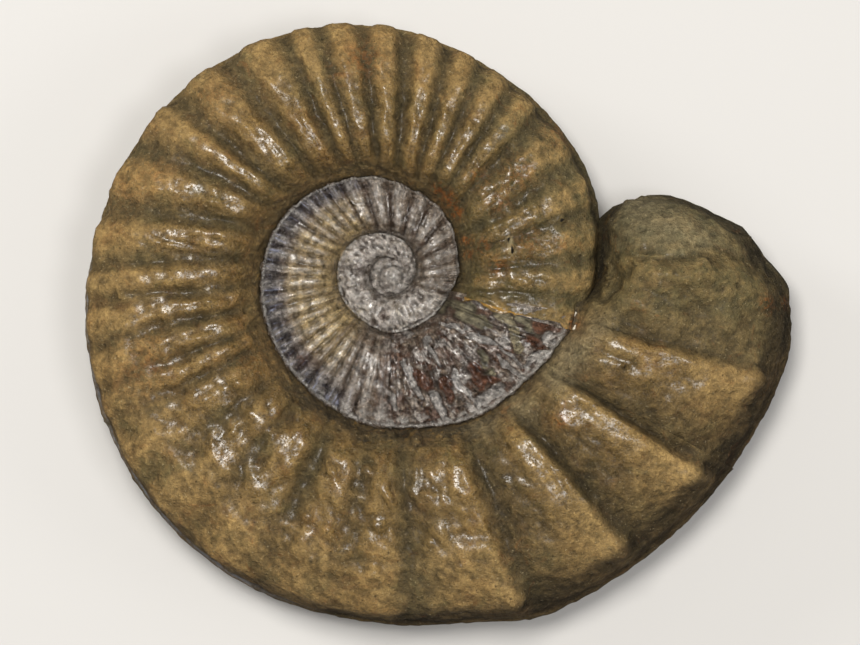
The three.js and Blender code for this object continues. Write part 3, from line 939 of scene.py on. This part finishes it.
# Empty node group with named inputs [(name, kind, value)] and outputs [(name, kind)].
def makeGroup(name, inputs, outputs):
    group = bpy.data.node_groups.new(name, "ShaderNodeTree")
    for label, kind, value in inputs:
        socket = group.interface.new_socket(label, in_out="INPUT", socket_type=kind)
        if value is not None:
            socket.default_value = value
    for label, kind in outputs:
        group.interface.new_socket(label, in_out="OUTPUT", socket_type=kind)
    given = group.nodes.new("NodeGroupInput").outputs
    return group, given, group.nodes.new("NodeGroupOutput").inputs


# Fine grain of stone: a tone for colours and a height for bump.
def grainGroup():
    group, given, out = makeGroup(
        "stoneGrain",
        [("Vector", "NodeSocketVector", None), ("Size", "NodeSocketFloat", 1.0)],
        [("Tone", "NodeSocketFloat"), ("Height", "NodeSocketFloat")],
    )
    coarse = noise(group, given["Vector"], maths(group, "DIVIDE", 800.0, given["Size"]), 3.0, 0.6)
    fine = noise(group, given["Vector"], maths(group, "DIVIDE", 2300.0, given["Size"]), 2.0, 0.6)
    both = maths(group, "ADD", times(group, coarse, 0.6), times(group, fine, 0.4))
    group.links.new(spread(group, both, 0.3, 0.7), out["Tone"])
    group.links.new(both, out["Height"])
    return group


# Scattered pores: a mask that is 1 in the pore and a height that sinks there.
def poreGroup():
    group, given, out = makeGroup(
        "openPores",
        [("Vector", "NodeSocketVector", None), ("Density", "NodeSocketFloat", 0.5)],
        [("Mask", "NodeSocketFloat"), ("Height", "NodeSocketFloat")],
    )
    cells = addNode(group, "ShaderNodeTexVoronoi", {"Vector": given["Vector"], "Scale": 330.0})
    patches = noise(group, given["Vector"], 90.0, 3.0)
    reach = spread(group, patches, 0.35, 0.75, 0.05, 0.32)
    reach = times(group, reach, given["Density"])
    inside = maths(group, "LESS_THAN", cells.outputs["Distance"], reach)
    soft = maths(group, "DIVIDE", cells.outputs["Distance"], maths(group, "MAXIMUM", reach, 0.01), True)
    group.links.new(times(group, inside, maths(group, "SUBTRACT", 1.0, soft)), out["Mask"])
    group.links.new(soft, out["Height"])
    return group


# Broken gloss of an old varnish: patches of lower and higher roughness.
def glossGroup():
    group, given, out = makeGroup(
        "brokenGloss",
        [
            ("Vector", "NodeSocketVector", None),
            ("Glossy", "NodeSocketFloat", 0.22),
            ("Dull", "NodeSocketFloat", 0.6),
        ],
        [("Roughness", "NodeSocketFloat"), ("Varnish", "NodeSocketFloat")],
    )
    patches = noise(group, given["Vector"], 420.0, 5.0, 0.7)
    share = spread(group, patches, 0.36, 0.64)
    span = maths(group, "SUBTRACT", given["Dull"], given["Glossy"])
    group.links.new(
        maths(group, "ADD", given["Glossy"], times(group, span, share)), out["Roughness"]
    )
    group.links.new(maths(group, "SUBTRACT", 1.0, share), out["Varnish"])
    return group


grain = grainGroup()
pores = poreGroup()
gloss = glossGroup()


def useGroup(tree, group, inputs):
    node = tree.nodes.new("ShaderNodeGroup")
    node.node_tree = group
    for key, value in inputs.items():
        if isinstance(value, bpy.types.NodeSocket):
            tree.links.new(value, node.inputs[key])
        else:
            node.inputs[key].default_value = value
    return node.outputs


def freshTree(material):
    material.use_nodes = True
    tree = material.node_tree
    tree.nodes.clear()
    shader = tree.nodes.new("ShaderNodeBsdfPrincipled")
    output = tree.nodes.new("ShaderNodeOutputMaterial")
    tree.links.new(shader.outputs["BSDF"], output.inputs["Surface"])
    place = tree.nodes.new("ShaderNodeTexCoord").outputs["Object"]
    return tree, shader, place


# Bump from several heights: [(height, distance in metres)].
def addBump(tree, shader, layers):
    normal = None
    for height, distance in layers:
        inputs = {"Height": height, "Distance": distance, "Strength": 1.0}
        if normal is not None:
            inputs["Normal"] = normal
        normal = addNode(tree, "ShaderNodeBump", inputs).outputs["Normal"]
    tree.links.new(normal, shader.inputs["Normal"])


# Multiplies a colour by a grey tone.
def toned(tree, colour, tone):
    grey = addNode(tree, "ShaderNodeCombineColor", {0: tone, 1: tone, 2: tone}).outputs["Color"]
    return mixColour(tree, 1.0, colour, grey, "MULTIPLY")


# A mask with a crisp uneven edge where a soft mask passes one half.
def crisp(tree, value, broken, low, high):
    uneven = times(tree, maths(tree, "SUBTRACT", broken, 0.5), 0.7)
    return spread(tree, maths(tree, "ADD", value, uneven), low, high)


# Noises by name: (scale, detail, roughness, distortion).
def madeNoises(tree, place, sizes):
    return {name: noise(tree, place, *size) for name, size in sizes.items()}


# A noise or other value made before, or else the painted mask of that name.
def source(tree, made, name):
    return made[name] if name in made else mask(tree, name)


# Lays rows over a colour: real stains as well as painted shade and painted highlights. The plain kind
# of row puts its tint where its mask is, broken up by a noise that passes from low to high; crisp has a
# sharp edge instead; tone makes it darker or lighter.
def layColours(tree, colour, layers, made, tints):
    for kind, name, broken, low, high, tint, least, most in layers:
        noiseValue = source(tree, made, broken)
        if kind == "crisp":
            share = crisp(tree, source(tree, made, name), noiseValue, low, high)
        else:
            share = spread(tree, noiseValue, low, high, least, most)
        if kind == "wash" and name:
            share = times(tree, source(tree, made, name), share)
        if kind == "tone":
            colour = toned(tree, colour, share)
        else:
            colour = mixColour(tree, share, colour, tints[tint])
    return colour


brownLook = {
    "noises": {
        "patches": (52.0, 6.0, 0.58), "lumps": (170.0, 5.0, 0.62), "blotches": (230.0, 6.0, 0.68),
        "crumbs": (560.0, 5.0, 0.68), "specks": (1000.0, 3.0, 0.7), "glints": (1500.0, 2.0, 0.6),
        "drift": (105.0, 5.0, 0.62, 0.8), "veins": (80.0, 8.0, 0.75, 1.5),
    },
    "tints": {
        "dark": srgb(104, 84, 50),
        "ochre": srgb(131, 104, 60),
        # tan: lighter stone, and also the painted highlight on crests and scarps and the painted light
        # of some tan spots
        "tan": srgb(160, 132, 82),
        "olive": srgb(86, 81, 52),
        "green": srgb(102, 94, 58),
        "redBrown": srgb(122, 86, 48),
        # furrow: a dark used as painted shade on the sawtooth slopes and in cavities, and for pits and
        # pores
        "furrow": srgb(56, 46, 24),
        # painted shade in the rib furrows
        "hollowShade": srgb(92, 82, 54),
        "wall": srgb(108, 93, 60),
        "rust": srgb(138, 76, 20),
        # cream: painted glints in the specks, and the pale rim of the slot
        "cream": srgb(204, 186, 144),
        "shelf": srgb(92, 86, 63),
        # painted shade along the seam
        "seamShade": srgb(42, 36, 26),
        "pale": srgb(160, 146, 112),
        # painted shade on the belly
        "shadedBelly": srgb(50, 41, 25),
        # painted shadow inside the holes
        "shadedHole": srgb(14, 11, 8),
        "edge": srgb(176, 134, 62),
        "splinter": srgb(236, 228, 212),
        "keelRim": srgb(140, 146, 156),
    },
    # kind, mask, noise, low, high, tint, least, most
    "layers": [
        ("wash", None, "blotches", 0.5, 0.7, "tan", 0.0, 0.45),
        ("wash", None, "drift", 0.54, 0.66, "redBrown", 0.0, 0.6),
        ("wash", None, "drift", 0.34, 0.46, "green", 0.5, 0.0),
        # tan spots: lighter stone, and painted light on the right of the body chamber
        ("wash", "tan", "blotches", 0.36, 0.6, "tan", 0.0, 0.6),
        ("wash", "olive", "blotches", 0.35, 0.6, "olive", 0.95, 0.55),
        ("wash", "shelf", "patches", 0.4, 0.6, "shelf", 0.2, 0.75),
        # painted highlight on the rib crests
        ("wash", "crest", "blotches", 0.38, 0.6, "tan", 0.1, 0.7),
        # painted highlight along the sawtooth crests
        ("wash", "scarpHighlight", "crumbs", 0.4, 0.6, "tan", 0.3, 0.9),
        ("wash", "wall", "blotches", 0.35, 0.6, "wall", 0.6, 0.3),
        # painted shade in the rib furrows
        ("wash", "furrow", "blotches", 0.3, 0.65, "hollowShade", 0.85, 0.6),
        # painted shade on the sawtooth slopes
        ("wash", "slope", "blotches", 0.3, 0.7, "furrow", 0.65, 0.25),
        # painted shade in the deeper cavities
        ("wash", "cavityShade", "crumbs", 0.35, 0.62, "furrow", 0.35, 0.15),
        # painted shade on the belly
        ("wash", "shadedBelly", "patches", 0.3, 0.6, "shadedBelly", 0.9, 0.55),
        # painted shade along the seam; the next row is a golden crust
        ("wash", "seam", "crumbs", 0.4, 0.6, "seamShade", 1.0, 0.7),
        ("wash", "seam", "blotches", 0.55, 0.62, "edge", 0.0, 0.25),
        # pale spots: pale stone, and a painted highlight above the end lump's ridge
        ("wash", "pale", "crumbs", 0.3, 0.6, "pale", 0.4, 1.0),
        ("wash", "rust", "crumbs", 0.44, 0.56, "rust", 0.0, 1.0),
        ("wash", None, "veins", 0.59, 0.68, "rust", 0.0, 0.28),
        # painted shade in small hollows and painted highlight on small bumps
        ("tone", None, "fineCavity", 0.2, 0.8, None, 1.18, 0.7),
        ("tone", None, "lumps", 0.35, 0.65, None, 0.9, 1.1),
        ("tone", None, "crumbs", 0.34, 0.66, None, 0.84, 1.14),
        ("tone", None, "grainTone", 0.0, 1.0, None, 0.58, 1.36),
        # painted glints
        ("wash", None, "specks", 0.62, 0.72, "cream", 0.0, 0.45),
        ("wash", "keelRim", "blotches", 0.4, 0.6, "keelRim", 0.1, 0.8),
        ("wash", "slotRim", "specks", 0.3, 0.5, "cream", 0.2, 0.7),
        ("crisp", "breakEdge", "crumbs", 0.44, 0.56, "edge", 0.0, 1.0),
        ("crisp", "splinter", "blotches", 0.44, 0.56, "splinter", 0.0, 1.0),
        ("wash", None, "poreMask", 0.0, 1.0, "furrow", 0.0, 0.7),
        ("wash", "pit", "crumbs", 0.4, 0.6, "furrow", 0.9, 0.4),
        # painted shadow inside the holes
        ("crisp", "shadedHole", "crumbs", 0.38, 0.62, "shadedHole", 0.0, 1.0),
    ],
    "grainSize": 1.0,
    "poreDensity": 1.0,
    "glossy": 0.2,
    "dull": 0.45,
    "sheenStrength": 1.9,
    "coatRoughness": 0.26,
    "specular": 0.4,
    # depth of the fine relief in metres
    "bumps": {"lumps": 0.0018, "crumbs": 0.0016, "specks": 0.0012, "pores": 0.0003, "grain": 0.0006},
}


def makeBrown(material):
    tree, shader, place = freshTree(material)
    look = brownLook
    made = madeNoises(tree, place, look["noises"])
    grainOut = useGroup(tree, grain, {"Vector": place, "Size": look["grainSize"]})
    poreOut = useGroup(tree, pores, {"Vector": place, "Density": look["poreDensity"]})
    glossOut = useGroup(
        tree, gloss, {"Vector": place, "Glossy": look["glossy"], "Dull": look["dull"]}
    )
    made["grainTone"] = grainOut["Tone"]
    made["poreMask"] = poreOut["Mask"]
    # painted shade: stronger where the broad cavity is deeper
    made["cavityShade"] = times(tree, mask(tree, "cavity"), mask(tree, "cavity"))
    mottle = maths(
        tree, "ADD", times(tree, made["patches"], 0.75), times(tree, made["crumbs"], 0.25)
    )
    tints = look["tints"]
    colour = mixColour(tree, spread(tree, mottle, 0.4, 0.6), tints["dark"], tints["ochre"])
    colour = layColours(tree, colour, look["layers"], made, tints)
    tree.links.new(colour, shader.inputs["Base Color"])
    sheen = mask(tree, "sheen")
    furrow = mask(tree, "furrow")
    shadedBelly = mask(tree, "shadedBelly")
    duller = times(tree, maths(tree, "MAXIMUM", furrow, shadedBelly), 0.3)
    duller = maths(tree, "MAXIMUM", duller, spread(tree, sheen, 0.2, 0.8, 0.35, 0.0))
    tree.links.new(maths(tree, "ADD", glossOut["Roughness"], duller), shader.inputs["Roughness"])
    dull = maths(tree, "MAXIMUM", shadedBelly, mask(tree, "shadedHole"))
    dull = maths(tree, "MAXIMUM", dull, times(tree, furrow, 0.85))
    varnish = times(tree, glossOut["Varnish"], maths(tree, "SUBTRACT", 1.0, dull, True))
    varnish = times(tree, varnish, times(tree, sheen, look["sheenStrength"]), True)
    varnish = times(tree, varnish, spread(tree, made["glints"], 0.4, 0.56))
    tree.links.new(varnish, shader.inputs["Coat Weight"])
    shader.inputs["Coat Roughness"].default_value = look["coatRoughness"]
    shader.inputs["Specular IOR Level"].default_value = look["specular"]
    rough = spread(tree, sheen, 0.2, 0.9, 0.5, 1.0)
    bumps = look["bumps"]
    addBump(tree, shader, [
        (made["lumps"], bumps["lumps"]),
        (times(tree, made["crumbs"], rough), bumps["crumbs"]),
        (times(tree, made["specks"], rough), bumps["specks"]),
        (poreOut["Height"], bumps["pores"]),
        (times(tree, grainOut["Height"], rough), bumps["grain"]),
    ])


pearlLook = {
    "noises": {
        "patches": (140.0, 5.0, 0.6), "lumps": (380.0, 5.0, 0.66), "blotches": (460.0, 5.0, 0.7),
        "specks": (1100.0, 4.0, 0.7), "glints": (1700.0, 2.0, 0.6),
    },
    "tints": {
        "dark": srgb(78, 60, 48),
        "grey": srgb(148, 132, 114),
        "silver": srgb(208, 202, 196),
        "gold": srgb(208, 182, 130),
        # band: dark nacre, partly painted shade of the outward slope
        "band": srgb(46, 48, 60),
        "blue": srgb(152, 158, 182),
        "rim": srgb(220, 216, 210),
        "rust": srgb(96, 60, 40),
        "matrix": srgb(112, 106, 84),
        "cream": srgb(176, 164, 132),
        # seam: painted shade along the seam
        "seam": srgb(62, 48, 32),
        # painted shadow inside the holes
        "shadedHole": srgb(14, 11, 8),
        # painted shade in the hollows of the core
        "hollowShade": srgb(96, 72, 48),
        "pit": srgb(60, 34, 24),
        "knob": srgb(216, 212, 206),
    },
    # rows as for the brown layer, under the suture plates, over them, and over the crimps
    "underPlates": [
        ("wash", None, "mixed", 0.52, 0.64, "silver", 0.0, 0.8),
        ("wash", "gold", "patches", 0.36, 0.56, "gold", 0.35, 0.95),
        # dark nacre of the outer band, partly painted shade
        ("wash", "band", "blotches", 0.4, 0.62, "band", 1.0, 0.65),
        # painted shade in the rib furrows
        ("wash", "furrow", "blotches", 0.35, 0.65, "dark", 0.65, 0.3),
        # painted highlight on the rib crests
        ("wash", "crest", "streaks", 0.4, 0.62, "silver", 0.1, 0.6),
        ("wash", "band", "crimps", 0.54, 0.64, "blue", 0.0, 0.75),
        ("wash", "onTiles", "tiles", 0.66, 0.7, "silver", 0.0, 1.0),
        ("wash", "onTiles", "tiles", 0.16, 0.12, "rust", 0.0, 1.0),
        ("wash", "onTiles", "joints", 0.1, 0.03, "dark", 0.0, 1.0),
        ("wash", "flaked", "patches", 0.52, 0.58, "rust", 0.0, 0.6),
        ("wash", "flaked", "blotches", 0.4, 0.48, "dark", 0.8, 0.0),
    ],
    "overPlates": [
        ("wash", "core", "patches", 0.46, 0.64, "cream", 0.0, 0.5),
        ("wash", "core", "blotches", 0.4, 0.54, "silver", 0.3, 0.95),
        # painted shade in the hollows of the core
        ("wash", "coreHollowShade", "patches", 0.4, 0.6, "hollowShade", 0.7, 0.25),
        # painted shade in the narrow cuts
        ("wash", "cut", "blotches", 0.35, 0.65, "dark", 0.9, 0.5),
        # painted shade along the seam
        ("wash", "seam", "blotches", 0.35, 0.6, "seam", 0.8, 0.35),
        ("wash", "rust", "blotches", 0.4, 0.55, "rust", 0.2, 1.0),
        # painted shade in small hollows and painted highlight on small bumps
        ("tone", None, "fineCavity", 0.2, 0.8, None, 1.35, 0.5),
        ("tone", None, "lumps", 0.36, 0.64, None, 0.72, 1.25),
        ("tone", None, "specks", 0.34, 0.66, None, 0.76, 1.22),
    ],
    "last": [
        ("wash", "knob", "specks", 0.42, 0.55, "knob", 0.0, 0.55),
        ("wash", "rim", "blotches", 0.36, 0.48, "rim", 0.3, 1.0),
        ("wash", "pit", "blotches", 0.4, 0.6, "pit", 1.0, 0.6),
        # painted shadow inside the holes
        ("crisp", "shadedHole", "specks", 0.38, 0.62, "shadedHole", 0.0, 1.0),
    ],
    "tileScale": 210.0,
    "crystalScale": 700.0,
    "grainSize": 0.8,
    "glossy": 0.18,
    "dull": 0.42,
    "coatRoughness": 0.2,
    "metallic": 0.3,
    "specular": 0.8,
    "bumps": {
        "lumps": 0.0026, "crimps": 0.0016, "specks": 0.0014, "crystals": 0.0004, "grain": 0.0004,
    },
}


def makeVector(tree, x, y):
    return addNode(tree, "ShaderNodeCombineXYZ", {0: x, 1: y, 2: 0.0}).outputs[0]


# Noise drawn out along the turns or across them: shares of the angle and of the radius.
def sweptNoise(tree, alongAngle, alongRadius, roughness, distortion=0.0):
    angle = times(tree, mask(tree, "coilAngle"), alongAngle)
    radius = times(tree, mask(tree, "coilRadius"), alongRadius)
    return noise(tree, makeVector(tree, angle, radius), 1.0, 4.0, roughness, distortion)


# Crumbled tiles of the flaked patch: a value for each tile, and how near its joint is.
def addTiles(tree, place, made, scale):
    shift = makeVector(tree, times(tree, made["patches"], 0.02), times(tree, made["lumps"], 0.012))
    bent = addNode(tree, "ShaderNodeVectorMath", {0: place, 1: shift}, operation="ADD").outputs[0]
    mosaic = {"Vector": bent, "Scale": scale}
    tiles = addNode(tree, "ShaderNodeTexVoronoi", mosaic).outputs["Color"]
    made["tiles"] = addNode(tree, "ShaderNodeSeparateColor", {"Color": tiles}).outputs[0]
    joints = addNode(tree, "ShaderNodeTexVoronoi", mosaic, feature="DISTANCE_TO_EDGE")
    made["joints"] = joints.outputs["Distance"]
    made["onTiles"] = times(tree, mask(tree, "flaked"), 0.75)


# Outlined plates and tongues of the sutures, over a colour.
def addPlates(tree, colour, made, tints):
    for kind in ("matrix", "cream", "rust", "silver"):
        plate = mask(tree, kind + "Plate")
        outline = times(tree, spread(tree, plate, 0.18, 0.36), spread(tree, plate, 0.5, 0.62, 1.0, 0.0))
        colour = mixColour(tree, times(tree, outline, 0.8), colour, tints["dark"])
        tint = toned(tree, tints[kind], spread(tree, made["blotches"], 0.38, 0.62, 0.6, 1.15))
        share = times(tree, crisp(tree, plate, made["blotches"], 0.42, 0.58), 0.95)
        colour = mixColour(tree, share, colour, tint)
    return colour


def makePearl(material):
    tree, shader, place = freshTree(material)
    look = pearlLook
    tints = look["tints"]
    made = madeNoises(tree, place, look["noises"])
    made["streaks"] = sweptNoise(tree, 0.24, 0.28, 0.6)
    made["crimps"] = sweptNoise(tree, 0.75, 0.13, 0.65, 0.4)
    addTiles(tree, place, made, look["tileScale"])
    crystals = addNode(tree, "ShaderNodeTexVoronoi", {"Vector": place, "Scale": look["crystalScale"]})
    grainOut = useGroup(tree, grain, {"Vector": place, "Size": look["grainSize"]})
    glossOut = useGroup(
        tree, gloss, {"Vector": place, "Glossy": look["glossy"], "Dull": look["dull"]}
    )
    made["mixed"] = maths(
        tree, "ADD", times(tree, made["patches"], 0.35), times(tree, made["blotches"], 0.65)
    )
    core = mask(tree, "core")
    # painted shade: the small hollows of the core
    made["coreHollowShade"] = times(tree, core, mask(tree, "fineCavity"))
    colour = mixColour(tree, spread(tree, made["mixed"], 0.38, 0.5), tints["dark"], tints["grey"])
    colour = layColours(tree, colour, look["underPlates"], made, tints)
    colour = addPlates(tree, colour, made, tints)
    colour = layColours(tree, colour, look["overPlates"], made, tints)
    crimpTone = spread(tree, made["crimps"], 0.36, 0.64, 0.66, 1.34)
    colour = toned(tree, colour, maths(tree, "MAXIMUM", crimpTone, times(tree, core, 1.1)))
    colour = layColours(tree, colour, look["last"], made, tints)
    tree.links.new(colour, shader.inputs["Base Color"])
    plates = mask(tree, "matrixPlate")
    roughness = maths(tree, "ADD", glossOut["Roughness"], times(tree, plates, 0.3))
    tree.links.new(roughness, shader.inputs["Roughness"])
    varnish = times(tree, glossOut["Varnish"], maths(tree, "SUBTRACT", 1.0, plates, True))
    varnish = times(tree, varnish, spread(tree, made["glints"], 0.38, 0.54, 0.15, 1.0))
    tree.links.new(varnish, shader.inputs["Coat Weight"])
    shader.inputs["Coat Roughness"].default_value = look["coatRoughness"]
    shader.inputs["Metallic"].default_value = look["metallic"]
    shader.inputs["Specular IOR Level"].default_value = look["specular"]
    calm = maths(tree, "SUBTRACT", 1.0, times(tree, plates, 0.8))
    bumps = look["bumps"]
    addBump(tree, shader, [
        (times(tree, made["lumps"], calm), bumps["lumps"]),
        (times(tree, made["crimps"], calm), bumps["crimps"]),
        (times(tree, made["specks"], calm), bumps["specks"]),
        (times(tree, crystals.outputs["Distance"], calm), bumps["crystals"]),
        (grainOut["Height"], bumps["grain"]),
    ])


makeBrown(brownStone)
makePearl(pearlShell)
print("materials made")

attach(shell, "root")
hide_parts("ammonite")

stageLook = {
    "floorHalfSize": 4.0,
    "floorColour": (0.655, 0.65, 0.64, 1.0),
    "floorRoughness": 0.85,
    "skyColour": (1.0, 0.98, 0.95, 1.0),
    "skyStrength": 0.22,
    # round soft lights: place, size, power, colour, shiny; one that isn't shiny only fills and
    # leaves no spot in the varnish
    "lights": {
        "keyLight": ((-0.16, 0.26, 1.7), 0.42, 22, (1.0, 0.96, 0.9), True),
        "topLight": ((0.3, -0.04, 1.6), 0.36, 6, (1.0, 0.98, 0.96), True),
        "leftLight": ((-1.0, 0.6, 0.8), 0.5, 4.2, (1.0, 0.99, 0.97), False),
        "rightLight": ((0.9, -0.1, 0.9), 0.5, 1.5, (1.0, 0.98, 0.95), False),
    },
    "cameraPlace": (-0.0031, 0.001, 1.6),
    "focusHeight": 0.032,
    "frameWidth": 0.3053,  # what the frame spans at the focus height
    "sensorWidth": 36,
}


def makeFloor():
    half = stageLook["floorHalfSize"]
    mesh = bpy.data.meshes.new("floor")
    corners = [(-half, -half, 0), (half, -half, 0), (half, half, 0), (-half, half, 0)]
    mesh.from_pydata(corners, [], [(0, 1, 2, 3)])
    floor = bpy.data.objects.new("floor", mesh)
    bpy.context.scene.collection.objects.link(floor)
    material = bpy.data.materials.new("floorPaper")
    material.use_nodes = True
    shader = material.node_tree.nodes["Principled BSDF"]
    shader.inputs["Base Color"].default_value = stageLook["floorColour"]
    shader.inputs["Roughness"].default_value = stageLook["floorRoughness"]
    mesh.materials.append(material)
    floor.visible_glossy = False


# Lamp that points at the middle of the floor.
def makeLight(name, place, size, power, colour, shiny):
    light = bpy.data.lights.new(name, "AREA")
    light.shape = "DISK"
    light.size = size
    light.energy = power
    light.color = colour
    obj = bpy.data.objects.new(name, light)
    obj.location = place
    obj.visible_glossy = shiny
    x, y, z = -np.array(place) / np.linalg.norm(place)
    obj.rotation_euler = (math.acos(-z), 0, math.atan2(y, x) - math.pi / 2)
    bpy.context.scene.collection.objects.link(obj)


# Camera straight above the coil, as in the photograph.
def makeCamera():
    distance = stageLook["cameraPlace"][2] - stageLook["focusHeight"]
    data = bpy.data.cameras.new("camera")
    data.sensor_width = stageLook["sensorWidth"]
    data.lens = stageLook["sensorWidth"] * distance / stageLook["frameWidth"]
    data.clip_end = 20
    camera = bpy.data.objects.new("camera", data)
    camera.location = stageLook["cameraPlace"]
    bpy.context.scene.collection.objects.link(camera)
    bpy.context.scene.camera = camera


def makeWorld():
    world = bpy.data.worlds.new("softRoom")
    world.use_nodes = True
    sky = world.node_tree.nodes["Background"]
    sky.inputs["Color"].default_value = stageLook["skyColour"]
    sky.inputs["Strength"].default_value = stageLook["skyStrength"]
    world.cycles_visibility.glossy = False
    bpy.context.scene.world = world


makeFloor()
for name, settings in stageLook["lights"].items():
    makeLight(name, *settings)
makeCamera()
makeWorld()
bpy.context.scene.view_settings.view_transform = "Standard"
print("stage, lights and camera made")
